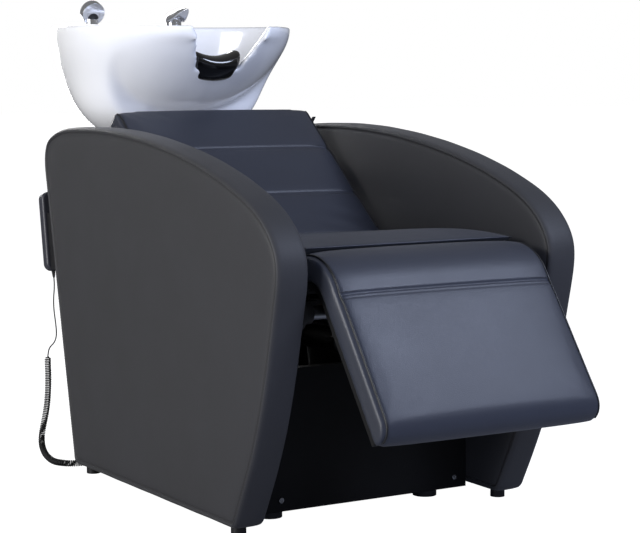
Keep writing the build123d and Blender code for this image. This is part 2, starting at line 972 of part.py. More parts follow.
with BuildPart() as back_rails:
    for side in (-1, 1):
        plane = leaning_plane(
            side * seat_rail_spread - back_rail_side / 2, back_foot_back, back_foot_height, back_angle
        )
        center = (back_rail_start + back_rail_length / 2, -back_board_thickness - back_rail_side / 2)
        with BuildSketch(plane):
            with Locations(center):
                Rectangle(back_rail_length, back_rail_side)
        extrude(amount=back_rail_side)
        with BuildSketch(plane.offset(back_rail_wall)):
            with Locations(center):
                Rectangle(back_rail_length + 2 * overrun, back_rail_side - 2 * back_rail_wall)
        extrude(amount=back_rail_side - 2 * back_rail_wall, mode=Mode.SUBTRACT)
finish(back_rails.part, "back_rails")

with BuildPart() as back_top_tube:
    plane = leaning_plane(-inner_face, back_foot_back, back_foot_height, back_angle)
    tube_center = (
        back_top_tube_start + back_rail_side / 2,
        -back_board_thickness - back_rail_side - back_rail_side / 2,
    )
    with BuildSketch(plane):
        with Locations(tube_center):
            Rectangle(back_rail_side, back_rail_side)
            Rectangle(
                back_rail_side - 2 * back_rail_wall,
                back_rail_side - 2 * back_rail_wall,
                mode=Mode.SUBTRACT,
            )
    extrude(amount=base_span)
finish(back_top_tube.part, "back_top_tube")

with BuildPart() as cushion_tag:
    tag_plane = leaning_plane(
        cushion_half_width + soft_gap, back_foot_back, back_foot_height, back_angle
    )
    with BuildSketch(tag_plane):
        with Locations((back_length - tag_drop, back_cushion_thickness - back_side_drop - tag_height / 2)):
            Rectangle(tag_thickness, tag_height)
    extrude(amount=tag_width)
finish(cushion_tag.part, "cushion_tag")


# Leg rest
leg_inner_radius = leg_roll_radius - leg_cushion_thickness
with BuildPart() as leg_cushion:
    for station in station_shares:
        drop = crown_fall(station, leg_side_drop)
        outer = leg_roll_radius - drop
        inner = leg_inner_radius + soft_gap
        end = leg_length - drop / 2
        roll_middle = (quarter_turn + leg_roll_back_angle) / 2
        corner = leg_end_round - drop
        corner_start = (end - corner, outer)
        corner_offset = polar(corner, eighth_turn)
        corner_middle = (end - corner + corner_offset[0], outer - corner + corner_offset[1])
        corner_end = (end, outer - corner)
        tail = (end, inner + leg_end_inner_round)
        tail_offset = polar(leg_end_inner_round, eighth_turn)
        tail_middle = (
            end - leg_end_inner_round + tail_offset[0],
            inner + leg_end_inner_round - tail_offset[1],
        )
        seam = (leg_seam, outer - leg_valley)
        with BuildSketch(slab_plane(station * cushion_half_width)):
            with BuildLine():
                Line(polar(inner, leg_roll_back_angle), polar(outer, leg_roll_back_angle))
                ThreePointArc(
                    polar(outer, leg_roll_back_angle), polar(outer, roll_middle), (0, outer)
                )
                Line((0, outer), seam)
                ThreePointArc(
                    seam, ((leg_seam + corner_start[0]) / 2, outer), corner_start
                )
                ThreePointArc(corner_start, corner_middle, corner_end)
                Line(corner_end, tail)
                ThreePointArc(tail, tail_middle, (end - leg_end_inner_round, inner))
                Line((end - leg_end_inner_round, inner), (0, inner))
                ThreePointArc((0, inner), polar(inner, roll_middle), polar(inner, leg_roll_back_angle))
            make_face()
    loft()
finish(leg_cushion.part, "leg_cushion")

board_outer = leg_inner_radius
board_inner = leg_inner_radius - leg_board_thickness
board_end = leg_length - leg_board_end_margin
board_back_angle = leg_roll_back_angle - leg_board_roll_trim
board_middle_angle = (quarter_turn + board_back_angle) / 2
leg_board_half_width = cushion_half_width - leg_board_side_margin
with BuildPart() as leg_board:
    with BuildSketch(slab_plane(leg_board_half_width)):
        with BuildLine():
            Line(polar(board_inner, board_back_angle), polar(board_outer, board_back_angle))
            ThreePointArc(
                polar(board_outer, board_back_angle),
                polar(board_outer, board_middle_angle),
                (0, board_outer),
            )
            Line((0, board_outer), (board_end, board_outer))
            Line((board_end, board_outer), (board_end, board_inner))
            Line((board_end, board_inner), (0, board_inner))
            ThreePointArc(
                (0, board_inner),
                polar(board_inner, board_middle_angle),
                polar(board_inner, board_back_angle),
            )
        make_face()
    extrude(amount=2 * leg_board_half_width)
finish(leg_board.part, "leg_board")


# Leg rest shaft, arms, crank and bearings
shaft_half_length = inner_face - bearing_flange_thickness - bearing_end_gap
with BuildPart() as leg_shaft:
    with BuildSketch(side_plane(-shaft_half_length, -hinge_forward, hinge_height)):
        Circle(leg_shaft_radius)
        Circle(leg_shaft_radius - leg_shaft_bore_wall, mode=Mode.SUBTRACT)
    extrude(amount=2 * shaft_half_length)
finish(leg_shaft.part, "leg_shaft")

with BuildPart() as leg_frame:
    for side in (-1, 1):
        arm_plane = slab_plane(side * leg_arm_spread + leg_arm_thickness / 2)
        with BuildSketch(arm_plane):
            with BuildLine():
                Polyline(
                    (0, board_inner),
                    (leg_arm_length, board_inner),
                    (leg_arm_length, board_inner - leg_arm_tip),
                    (leg_hub_radius * leg_cosine, -leg_hub_radius * leg_sine),
                    (-leg_hub_radius * leg_sine, 0),
                    close=True,
                )
            make_face()
            Circle(leg_hub_radius)
            Circle(leg_shaft_radius, mode=Mode.SUBTRACT)
        extrude(amount=leg_arm_thickness)
    crank_plane = side_plane(-crank_thickness / 2, -hinge_forward, hinge_height)
    with BuildSketch(crank_plane):
        Circle(crank_hub_radius)
        with Locations((0, -crank_radius)):
            Circle(crank_tip_radius)
        make_hull()
        Circle(leg_shaft_radius, mode=Mode.SUBTRACT)
    extrude(amount=crank_thickness)
    with BuildSketch(crank_plane.offset((crank_thickness - crank_pin_length) / 2)):
        with Locations((0, -crank_radius)):
            Circle(crank_pin_radius)
    extrude(amount=crank_pin_length)
finish(leg_frame.part, "leg_frame")

with BuildPart() as leg_bearings:
    for side in (-1, 1):
        face_plane = Plane(
            origin=(side * inner_face, hinge_y, hinge_height), x_dir=(0, 1, 0), z_dir=(-side, 0, 0)
        )
        with BuildSketch(face_plane):
            Circle(bearing_flange_radius)
        extrude(amount=bearing_flange_thickness)
        with BuildSketch(face_plane):
            Circle(bearing_boss_radius)
        extrude(amount=bearing_flange_thickness + bearing_boss_length)
        with BuildSketch(face_plane.offset(bearing_flange_thickness)):
            Circle(leg_shaft_radius + fit_gap)
        extrude(amount=bearing_boss_length, mode=Mode.SUBTRACT)
finish(leg_bearings.part, "leg_bearings")


# Actuator
actuator_height = hinge_height - crank_radius
cheek_inner = crank_thickness / 2 + fork_cheek_gap
slot_half_width = crank_pin_radius + fork_slot_play
slot_low = -slot_half_width
slot_high = crank_rise + slot_half_width
with BuildPart() as rod_fork:
    for side in (-1, 1):
        low = cheek_inner if side > 0 else -cheek_inner - fork_cheek_thickness
        cheek_plane = side_plane(low, -hinge_forward, actuator_height)
        front = -slot_half_width - fork_cheek_border
        back = fork_base_start + fork_base_length
        bottom = slot_low - fork_cheek_border
        top = slot_high + fork_cheek_border
        with BuildSketch(cheek_plane):
            with Locations(((front + back) / 2, (bottom + top) / 2)):
                Rectangle(back - front, top - bottom)
            with Locations((0, (slot_low + slot_high) / 2)):
                Rectangle(2 * slot_half_width, slot_high - slot_low, mode=Mode.SUBTRACT)
        extrude(amount=fork_cheek_thickness)
    with BuildSketch(side_plane(-cheek_inner, -hinge_forward, actuator_height)):
        with Locations((fork_base_start + fork_base_length / 2, 0)):
            Rectangle(fork_base_length, fork_base_height)
    extrude(amount=2 * cheek_inner)
finish(rod_fork.part, "rod_fork")


def actuator_plane(along):
    """Plane across the actuator, at a distance behind the leg rest's shaft."""
    return Plane(
        origin=(0, hinge_y + along, actuator_height), x_dir=(-1, 0, 0), z_dir=(0, 1, 0)
    )


with BuildPart() as actuator_rod:
    with BuildSketch(actuator_plane(fork_base_start + fork_base_length)):
        Circle(rod_radius)
    extrude(amount=rod_length)
finish(actuator_rod.part, "actuator_rod")

with BuildPart() as actuator_tube:
    with BuildSketch(actuator_plane(tube_start)):
        Circle(tube_radius)
    extrude(amount=tube_length)
    with BuildSketch(actuator_plane(tube_start)):
        Circle(rod_radius + fit_gap)
    extrude(amount=tube_gland_length, mode=Mode.SUBTRACT)
    with BuildSketch(actuator_plane(tube_start + tube_gland_length)):
        Circle(tube_bore_radius)
    extrude(amount=tube_length - tube_gland_length, mode=Mode.SUBTRACT)
finish(actuator_tube.part, "actuator_tube")

gearbox_start = tube_start + tube_length
with BuildPart() as actuator_gearbox:
    with Locations(
        (0, hinge_y + gearbox_start + gearbox_length / 2, actuator_height + gearbox_above - gearbox_height / 2)
    ):
        Box(gearbox_width, gearbox_length, gearbox_height)
    fillet(actuator_gearbox.edges().filter_by(Axis.Y), radius=gearbox_round)
    with BuildSketch(side_plane(-eye_thickness / 2, -hinge_forward + gearbox_start, actuator_height)):
        with Locations((gearbox_length + (eye_length - eye_radius) / 2, 0)):
            Rectangle(eye_length - eye_radius, 2 * eye_radius)
        with Locations((gearbox_length + eye_pin_back, 0)):
            Circle(eye_radius)
            Circle(eye_pin_radius + fit_gap, mode=Mode.SUBTRACT)
    extrude(amount=eye_thickness)
finish(actuator_gearbox.part, "actuator_gearbox")

with BuildPart() as actuator_motor:
    motor_plane = Plane(
        origin=(0, hinge_y + gearbox_start, actuator_height - motor_drop),
        x_dir=(1, 0, 0),
        z_dir=(0, -1, 0),
    )
    with BuildSketch(motor_plane):
        Circle(motor_radius)
    extrude(amount=motor_length)
    fillet(actuator_motor.faces().sort_by(Axis.Y)[0].edges(), radius=gearbox_round)
finish(actuator_motor.part, "actuator_motor")

pin_along = gearbox_start + gearbox_length + eye_pin_back
tube_face = datum_y + seat_rear_tube_back - seat_rail_side / 2
ear_front = hinge_y + pin_along - eye_radius
with BuildPart() as actuator_bracket:
    ear_inner = eye_thickness / 2 + fork_cheek_gap
    tube_mid_height = seat_tube_height(seat_rear_tube_back)
    plate_low = actuator_height - eye_radius
    plate_high = tube_mid_height + seat_rail_side / 2
    for side in (-1, 1):
        with Locations((side * (ear_inner + bracket_ear_thickness / 2), (ear_front + tube_face) / 2, actuator_height)):
            Box(bracket_ear_thickness, tube_face - ear_front, 2 * eye_radius)
    with Locations((0, tube_face, plate_low)):
        Box(
            bracket_width,
            bracket_plate_thickness,
            plate_high - plate_low,
            align=(Align.CENTER, Align.MAX, Align.MIN),
        )
    with BuildSketch(side_plane(-bracket_width / 2, pin_along - hinge_forward, actuator_height)):
        Circle(eye_pin_radius)
    extrude(amount=bracket_width)
finish(actuator_bracket.part, "actuator_bracket")


# Control box and power inlet
with BuildPart() as control_box:
    with Locations(spot(inner_face, control_box_back, control_box_height)):
        Box(*control_box_size, align=(Align.MAX, Align.CENTER, Align.CENTER))
    fillet(control_box.edges().filter_by(Axis.X), radius=control_box_round)
finish(control_box.part, "control_box")

with BuildPart() as power_inlet:
    with BuildSketch(inlet_plane):
        RectangleRounded(inlet_width, inlet_height, inlet_plate_thickness)
    extrude(amount=inlet_plate_thickness)
    with BuildSketch(inlet_plane):
        Rectangle(inlet_body_width, inlet_body_height)
    extrude(amount=-inlet_body_depth)
    with BuildSketch(inlet_plane.offset(inlet_plate_thickness)):
        Rectangle(inlet_slot_width, inlet_slot_height)
    extrude(amount=-inlet_slot_depth - inlet_plate_thickness, mode=Mode.SUBTRACT)
finish(power_inlet.part, "power_inlet")


# Handset
handset_sine = math.sin(math.radians(handset_lean))
handset_cosine = math.cos(math.radians(handset_lean))
handset_up = Vector(0, handset_sine, handset_cosine)
handset_out = Vector(0, handset_cosine, -handset_sine)
handset_origin = Vector(*spot(handset_side, handset_back, handset_foot_height))


def handset_plane(up, out, across=0.0):
    """Plane on the handset: local x across, local y up its length, z out of its face."""
    origin = handset_origin + handset_up * up + handset_out * out + Vector(across, 0, 0)
    return Plane(origin=origin, x_dir=(-1, 0, 0), z_dir=handset_out)


def rear_edge_back(height):
    """Place of the panel's rear edge at a height."""
    return rear_foot_back + (height - panel_floor_gap) * math.tan(math.radians(rear_lean))


panel_recess = handset_depth - handset_panel_thickness
button_places = (
    ("up_button", button_center_up + button_pitch / 2),
    ("down_button", button_center_up - button_pitch / 2),
)
button_seat = panel_recess - button_travel - handset_panel_thickness
with BuildPart() as handset_body:
    with BuildSketch(handset_plane(handset_height / 2, 0)):
        RectangleRounded(handset_width, handset_height, handset_corner)
    extrude(amount=handset_depth)
    fillet(handset_body.edges().group_by(Axis(handset_origin, handset_out))[-1], radius=handset_edge)
    fillet(handset_body.edges().group_by(Axis(handset_origin, handset_out))[0], radius=handset_edge)
    with BuildSketch(handset_plane(handset_height / 2, panel_recess)):
        RectangleRounded(
            handset_width - 2 * handset_panel_margin,
            handset_height - 2 * handset_panel_margin,
            handset_corner - handset_panel_margin,
        )
    extrude(amount=handset_panel_thickness + overrun, mode=Mode.SUBTRACT)
    for label, place in button_places:
        with BuildSketch(handset_plane(place, button_seat)):
            Circle(button_radius + button_play)
        extrude(amount=panel_recess - button_seat, mode=Mode.SUBTRACT)
finish(handset_body.part, "handset_body")

with BuildPart() as handset_panel:
    with BuildSketch(handset_plane(handset_height / 2, panel_recess)):
        RectangleRounded(
            handset_width - 2 * handset_panel_margin,
            handset_height - 2 * handset_panel_margin,
            handset_corner - handset_panel_margin,
        )
    extrude(amount=handset_panel_thickness)
    for label, place in button_places:
        with BuildSketch(handset_plane(place, panel_recess)):
            Circle(button_radius + button_play)
        extrude(amount=handset_panel_thickness, mode=Mode.SUBTRACT)
finish(handset_panel.part, "handset_panel")

for label, place in button_places:
    with BuildPart() as button:
        with BuildSketch(handset_plane(place, button_seat + button_travel)):
            Circle(button_radius)
        extrude(amount=button_height)
    finish(button.part, label)

with BuildPart() as handset_bracket:
    holder_points = []
    for up in (holder_bottom, holder_top):
        point = handset_origin + handset_up * up - handset_out * soft_gap
        holder_points.append((point.Y - datum_y, point.Z))
    with BuildSketch(side_plane(handset_side - holder_width / 2)):
        with BuildLine():
            Polyline(
                holder_points[0],
                holder_points[1],
                (rear_edge_back(holder_points[1][1]) + soft_gap, holder_points[1][1]),
                (rear_edge_back(holder_points[0][1]) + soft_gap, holder_points[0][1]),
                close=True,
            )
        make_face()
    extrude(amount=holder_width)
finish(handset_bracket.part, "handset_bracket")

relief_base = handset_plane(0, handset_depth / 2, relief_side - handset_side).origin
lead_top = relief_base - handset_up * relief_length
lead_bend = lead_top - handset_up * lead_first_run
with BuildPart() as cord_relief:
    with BuildSketch(Plane(origin=lead_top, z_dir=handset_up)):
        Circle(relief_radius_end)
    with BuildSketch(Plane(origin=relief_base, z_dir=handset_up)):
        Circle(relief_radius_top)
    loft()
finish(cord_relief.part, "cord_relief")


# Cord from the handset to the rear cover
def spline_point(points, share):
    """Point of the clamped quadratic B-spline with these control points, share from 0 to 1."""
    spans = len(points) - 2
    position = min(share * spans, spans - tiny)
    span = int(position)
    local = position - span
    first, second, third = (Vector(*point) for point in points[span : span + 3])
    start = first if span == 0 else (first + second) * 0.5
    end = third if span == spans - 1 else (second + third) * 0.5
    return start * (1 - local) ** 2 + second * (2 * local * (1 - local)) + end * local**2


def curl_line(points, mean_radius, pitch, ramp_turns, end_run):
    """Points and tangents, two to a turn, of a helix wound round a curved line."""
    sample_count = 1200
    placed = [spot(*point) for point in points]
    line = [spline_point(placed, index / sample_count) for index in range(sample_count + 1)]
    lengths = [0.0]
    for before, after in zip(line, line[1:]):
        lengths.append(lengths[-1] + (after - before).length)
    total = lengths[-1]
    side = Vector(-1, 0, 0)
    frames = []
    for index, point in enumerate(line):
        ahead = line[min(index + 1, sample_count)]
        behind = line[max(index - 1, 0)]
        forward = (ahead - behind).normalized()
        side = (side - forward * side.dot(forward)).normalized()
        frames.append((point, forward, side, forward.cross(side)))

    def frame_at(distance):
        """Point and axes of the line at a distance along it."""
        low = 0
        high = sample_count
        while high - low > 1:
            middle = (low + high) // 2
            if lengths[middle] <= distance:
                low = middle
            else:
                high = middle
        share = (distance - lengths[low]) / max(lengths[high] - lengths[low], tiny)
        return tuple(a * (1 - share) + b * share for a, b in zip(frames[low], frames[high]))

    wound = total - 2 * end_run
    turns = math.floor(wound / pitch)
    turn_pitch = wound / turns

    def helix(turn):
        """Point of the helix after a number of turns."""
        ramp = min(1.0, turn / ramp_turns, (turns - turn) / ramp_turns)
        ramp = max(ramp, 0.0)
        radius = mean_radius * ramp * ramp * (3 - 2 * ramp)
        point, forward, across, normal = frame_at(end_run + turn * turn_pitch)
        angle = 2 * math.pi * turn
        return point + across * (radius * math.cos(angle)) + normal * (radius * math.sin(angle))

    step = 1e-3
    places = []
    for half_turn in range(2 * turns + 1):
        turn = half_turn / 2
        low = max(turn - step, 0.0)
        high = min(turn + step, turns)
        places.append((helix(turn), (helix(high) - helix(low)).normalized()))
    start = (frame_at(0.0)[0], places[0][0])
    end = (places[-1][0], frame_at(total)[0])
    return places, start, end, turns


def biarc(p0, t0, p1, t1):
    """Two arcs that join two points with given tangents: the middle point and both arc middles."""
    gap = p1 - p0
    a = 2 * (t0.dot(t1) - 1)
    b = -2 * gap.dot(t0 + t1)
    c = gap.dot(gap)
    if abs(a) < tiny:
        size = -c / b
    else:
        size = (-b - math.sqrt(b * b - 4 * a * c)) / (2 * a)
    q0 = p0 + t0 * size
    q1 = p1 - t1 * size
    return (q0 + q1) / 2


def least_self_gap(points, tube_radius, skip):
    """Least gap between stretches of one tube that are further apart along it than the skip."""
    reach = skip * (1 + curl_check_turns)
    least = None
    for index, point in enumerate(points):
        for other in points[index + skip : index + reach]:
            distance = (point - other).length - 2 * tube_radius
            if least is None or distance < least:
                least = distance
    return least


places, curl_start, curl_end, curl_turns = curl_line(
    curl_points, curl_mean_radius, curl_pitch, curl_ramp_turns, curl_end_run
)
with BuildPart() as curly_cord:
    with BuildLine() as curl_path:
        Line(*curl_start)
        for (p0, t0), (p1, t1) in zip(places, places[1:]):
            joint = biarc(p0, t0, p1, t1)
            TangentArc(p0, joint, tangent=t0)
            TangentArc(joint, p1, tangent=curl_path.line.edges()[-1] % 1)
        Line(*curl_end)
    wire = curl_path.wires()[0]
    with BuildSketch(Plane(origin=wire @ 0, z_dir=wire % 0)):
        Circle(cord_radius)
    sweep(path=wire)
    samples_per_turn = 24
    sample_total = samples_per_turn * curl_turns
    curl_samples = [wire @ (index / sample_total) for index in range(sample_total + 1)]
print("curls", curl_turns, "wire length", round(wire.length, 1))
print("curls least gap", round(least_self_gap(curl_samples, cord_radius, samples_per_turn // 2), 3))
finish(curly_cord.part, "curly_cord")

lead_route = (
    (lead_top.X, lead_top.Y - datum_y, lead_top.Z),
    (lead_bend.X, lead_bend.Y - datum_y, lead_bend.Z),
) + lead_points
with BuildPart() as handset_lead:
    cord_tube(lead_route, cord_radius, "handset lead")
finish(handset_lead.part, "handset_lead")

with BuildPart() as cord_gland:
    with BuildSketch(gland_plane):
        Circle(gland_radius)
    extrude(amount=gland_length)
    with BuildSketch(gland_plane):
        Circle(cord_radius)
    extrude(amount=-rear_cover_thickness)
finish(cord_gland.part, "cord_gland")

gland_mouth = gland_plane.origin + gland_plane.z_dir * gland_length
gland_bend = gland_mouth + gland_plane.z_dir * gland_run
tail_route = tail_points + (
    (gland_bend.X, gland_bend.Y - datum_y, gland_bend.Z),
    (gland_mouth.X, gland_mouth.Y - datum_y, gland_mouth.Z),
)
with BuildPart() as tail_lead:
    cord_tube(tail_route, cord_radius, "tail lead")
finish(tail_lead.part, "tail_lead")


# Basin
def basin_section(height, half_width_here, half_length_here, center_back):
    """One oval section of the basin at a height."""
    plane = Plane(origin=spot(0, center_back, height), x_dir=(1, 0, 0), z_dir=(0, 0, 1))
    with BuildSketch(plane) as section:
        Ellipse(half_width_here, half_length_here)
    return section.sketch


outer_faces = [
    basin_section(
        height,
        basin_half_width * width_share,
        basin_half_length * length_share,
        basin_center_back + shift,
    )
    for height, width_share, length_share, shift in basin_outer_sections
]
hollow_faces = [
    basin_section(
        height if height > basin_bottom else height - overrun,
        basin_half_width * width_share - basin_wall,
        basin_half_length * length_share - basin_wall,
        basin_center_back + shift,
    )
    for height, width_share, length_share, shift in basin_outer_sections
]
shell_faces = [
    basin_section(
        height if height == rim_height else height - basin_wall,
        half_x + basin_wall,
        half_y + basin_wall,
        center,
    )
    for height, half_x, half_y, center in bowl_sections
]
bowl_faces = [basin_section(*section) for section in bowl_sections]
deck_bottom = rim_height - basin_wall

with BuildPart() as bowl_shell:
    loft(shell_faces)

with BuildPart() as scoop:
    with BuildSketch(side_plane(-half_width, scoop_center_back, scoop_center_height)):
        Circle(scoop_radius)
    extrude(amount=overall_width)
    add(bowl_shell.part, mode=Mode.SUBTRACT)

with BuildPart() as hollow:
    loft(hollow_faces)
    with Locations(spot(0, cavity_start_back, deck_bottom)):
        Box(
            overall_width,
            overall_width,
            overall_width,
            align=(Align.CENTER, Align.MIN, Align.MAX),
            mode=Mode.INTERSECT,
        )
    add(bowl_shell.part, mode=Mode.SUBTRACT)

with BuildPart() as bowl_inside:
    loft(bowl_faces)

notch_top = rim_height + overrun
with BuildPart() as basin:
    loft(outer_faces)
    fillet(basin.faces().sort_by(Axis.Z)[-1].edges(), radius=rim_round)
    add(scoop.part, mode=Mode.SUBTRACT)
    add(hollow.part, mode=Mode.SUBTRACT)
    add(bowl_inside.part, mode=Mode.SUBTRACT)
    with BuildSketch(Plane(origin=spot(0, 0, 0), x_dir=(1, 0, 0), z_dir=(0, -1, 0))):
        with BuildLine():
            Polyline(
                (-notch_half_width_top, notch_top),
                (-notch_half_width_bottom, notch_floor),
                (notch_half_width_bottom, notch_floor),
                (notch_half_width_top, notch_top),
                close=True,
            )
        make_face()
    extrude(amount=-notch_depth, mode=Mode.SUBTRACT)
    with Locations(spot(0, drain_back, basin_bottom)):
        Cylinder(drain_radius, basin_half_width, mode=Mode.SUBTRACT)
    with Locations(spot(tap_side, tap_back, rim_height)):
        Cylinder(mixer_tail_radius + face_gap, 2 * mixer_tail_length, mode=Mode.SUBTRACT)
    with Locations(spot(-tap_side, tap_back, rim_height)):
        Cylinder(collar_tail_radius + face_gap, 2 * collar_tail_length, mode=Mode.SUBTRACT)
finish(basin.part, "basin")


# Neck rest, a soft saddle in the basin's notch
with BuildPart() as neck_rest:
    for place_share in neck_place_shares:
        half = neck_half_width - neck_end_draw * place_share**2
        saddle_low = notch_floor + soft_gap + neck_thickness - neck_edge_thin * place_share**2
        saddle_high = saddle_low + neck_horn
        low = notch_floor + soft_gap
        neck_plane = Plane(
            origin=spot(0, neck_back + place_share * neck_depth / 2, 0),
            x_dir=(1, 0, 0),
            z_dir=(0, -1, 0),
        )
        with BuildSketch(neck_plane):
            with BuildLine():
                ThreePointArc((-half, saddle_high), (0, saddle_low), (half, saddle_high))
                Line((half, saddle_high), (half - neck_side_slope, low + neck_base_rise))
                ThreePointArc(
                    (half - neck_side_slope, low + neck_base_rise),
                    (0, low),
                    (-half + neck_side_slope, low + neck_base_rise),
                )
                Line((-half + neck_side_slope, low + neck_base_rise), (-half, saddle_high))
            make_face()
    loft()
finish(neck_rest.part, "neck_rest")


# Basin mount: a plate under the basin's foot with two lugs on the tilt pin
plate_center_back = basin_center_back + basin_outer_sections[-1][-1]
plate_bottom = basin_bottom - plate_thickness
plate_cut = 2 * plate_thickness + 2 * overrun
with BuildPart() as basin_plate:
    with BuildSketch(Plane(origin=spot(0, plate_center_back, basin_bottom), z_dir=(0, 0, 1))):
        Ellipse(plate_half_width, plate_half_length)
    extrude(amount=-plate_thickness)
    with Locations(spot(0, drain_back, basin_bottom)):
        Cylinder(waste_nut_radius + face_gap, plate_cut, mode=Mode.SUBTRACT)
    with Locations(spot(0, hose_slot_back, basin_bottom)):
        Box(hose_slot_width, hose_slot_length, plate_cut, mode=Mode.SUBTRACT)
    for low in (lug_spread, -lug_spread - lug_thickness):
        with BuildSketch(side_plane(low, pivot_back, pivot_height)):
            Circle(lug_radius)
            with Locations((0, (plate_bottom - pivot_height) / 2)):
                Rectangle(2 * lug_radius, plate_bottom - pivot_height)
            Circle(tilt_pin_radius + fit_gap, mode=Mode.SUBTRACT)
        extrude(amount=lug_thickness)
finish(basin_plate.part, "basin_plate")

arm_top = arm_height + column_side / 2
column_foot = base_tube_height + base_tube
column_rise = arm_top - column_foot
column_middle = (column_foot + arm_top) / 2
column_inside = column_side - 2 * column_wall
arm_length = arm_end_back - column_back
arm_middle = (arm_end_back + column_back) / 2
with BuildPart() as basin_column:
    with Locations(spot(0, column_back, column_middle)):
        Box(column_side, column_side, column_rise)
    with Locations(spot(0, arm_middle, arm_height)):
        Box(column_side, arm_length, column_side)
    with Locations(spot(0, column_back, column_middle)):
        Box(column_inside, column_inside, column_rise - 2 * column_wall, mode=Mode.SUBTRACT)
    with Locations(spot(0, arm_middle + column_wall, arm_height)):
        Box(column_inside, arm_length, column_inside, mode=Mode.SUBTRACT)
    with Locations(spot(0, column_back, column_foot)):
        Box(
            column_plate_side,
            column_plate_side,
            column_plate,
            align=(Align.CENTER, Align.CENTER, Align.MIN),
        )
finish(basin_column.part, "basin_column")

ear_outer = lug_spread - tilt_ear_gap
pin_start = lug_spread + lug_thickness + tilt_ear_gap
with BuildPart() as tilt_pin:
    with BuildSketch(side_plane(-pin_start, pivot_back, pivot_height)):
        Circle(tilt_pin_radius)
    extrude(amount=2 * pin_start + tilt_pin_overhang)

with BuildPart() as tilt_ears:
    for low in (ear_outer - tilt_ear_thickness, -ear_outer):
        with BuildSketch(side_plane(low, pivot_back, pivot_height)):
            Circle(lug_radius)
            with Locations((0, (arm_top - pivot_height) / 2)):
                Rectangle(2 * lug_radius, pivot_height - arm_top)
        extrude(amount=tilt_ear_thickness)
    with Locations(spot(0, pivot_back, arm_top)):
        Box(
            2 * ear_outer,
            2 * lug_radius,
            tilt_ear_thickness,
            align=(Align.CENTER, Align.CENTER, Align.MIN),
        )
    add(tilt_pin.part)
finish(tilt_ears.part, "tilt_bracket")

with BuildPart() as tilt_lever:
    lever_plane = leaning_plane(pin_start, pivot_back, pivot_height, -tilt_lever_angle)
    with BuildSketch(lever_plane):
        Circle(tilt_lever_radius)
        with Locations((tilt_lever_length / 2, 0)):
            SlotCenterToCenter(tilt_lever_length, tilt_lever_thickness)
        Circle(tilt_pin_radius + fit_gap, mode=Mode.SUBTRACT)
    extrude(amount=tilt_lever_thickness)
    with BuildSketch(lever_plane.offset(tilt_lever_thickness / 2)):
        with Locations((tilt_lever_length, 0)):
            Circle(tilt_lever_grip_radius)
    extrude(amount=tilt_lever_grip_length)
finish(tilt_lever.part, "tilt_lever")


# Drain: waste fitting, strainer and hose
drain_floor = bowl_sections[-1][0]
flange_plane = Plane(origin=spot(0, drain_back, drain_floor), z_dir=(0, 0, 1))
with BuildPart() as waste_fitting:
    with BuildSketch(flange_plane):
        Circle(waste_flange_radius)
    extrude(amount=waste_flange_thickness)
    with BuildSketch(flange_plane):
        Circle(drain_radius - soft_gap)
    extrude(amount=waste_body_end - drain_floor)
    with BuildSketch(flange_plane):
        Circle(waste_tail_radius)
    extrude(amount=waste_tail_end - drain_floor)
    with BuildSketch(flange_plane.offset(-basin_wall - soft_gap)):
        RegularPolygon(waste_nut_radius, nut_sides)
    extrude(amount=-waste_nut_height)
    with BuildSketch(flange_plane.offset(waste_flange_thickness)):
        Circle(strainer_radius + face_gap)
    extrude(amount=-waste_flange_thickness - strainer_seat_depth, mode=Mode.SUBTRACT)
    with BuildSketch(flange_plane):
        Circle(waste_bore_radius)
    extrude(amount=waste_tail_end - drain_floor, mode=Mode.SUBTRACT)
finish(waste_fitting.part, "waste_fitting")

with BuildPart() as drain_strainer:
    strainer_plane = flange_plane.offset(-strainer_seat_depth)
    with BuildSketch(strainer_plane):
        Circle(strainer_radius)
        with PolarLocations(strainer_hole_circle, strainer_hole_count):
            Circle(strainer_hole_radius, mode=Mode.SUBTRACT)
    extrude(amount=strainer_thickness)
    with BuildSketch(strainer_plane):
        Circle(strainer_stem_radius)
    extrude(amount=-strainer_stem_length)
    with BuildSketch(strainer_plane):
        Circle(strainer_stem_radius)
    extrude(amount=2 * strainer_thickness)
finish(drain_strainer.part, "drain_strainer")

with BuildPart() as waste_hose:
    cord_tube(waste_hose_points, waste_hose_radius, "waste hose")
finish(waste_hose.part, "waste_hose")


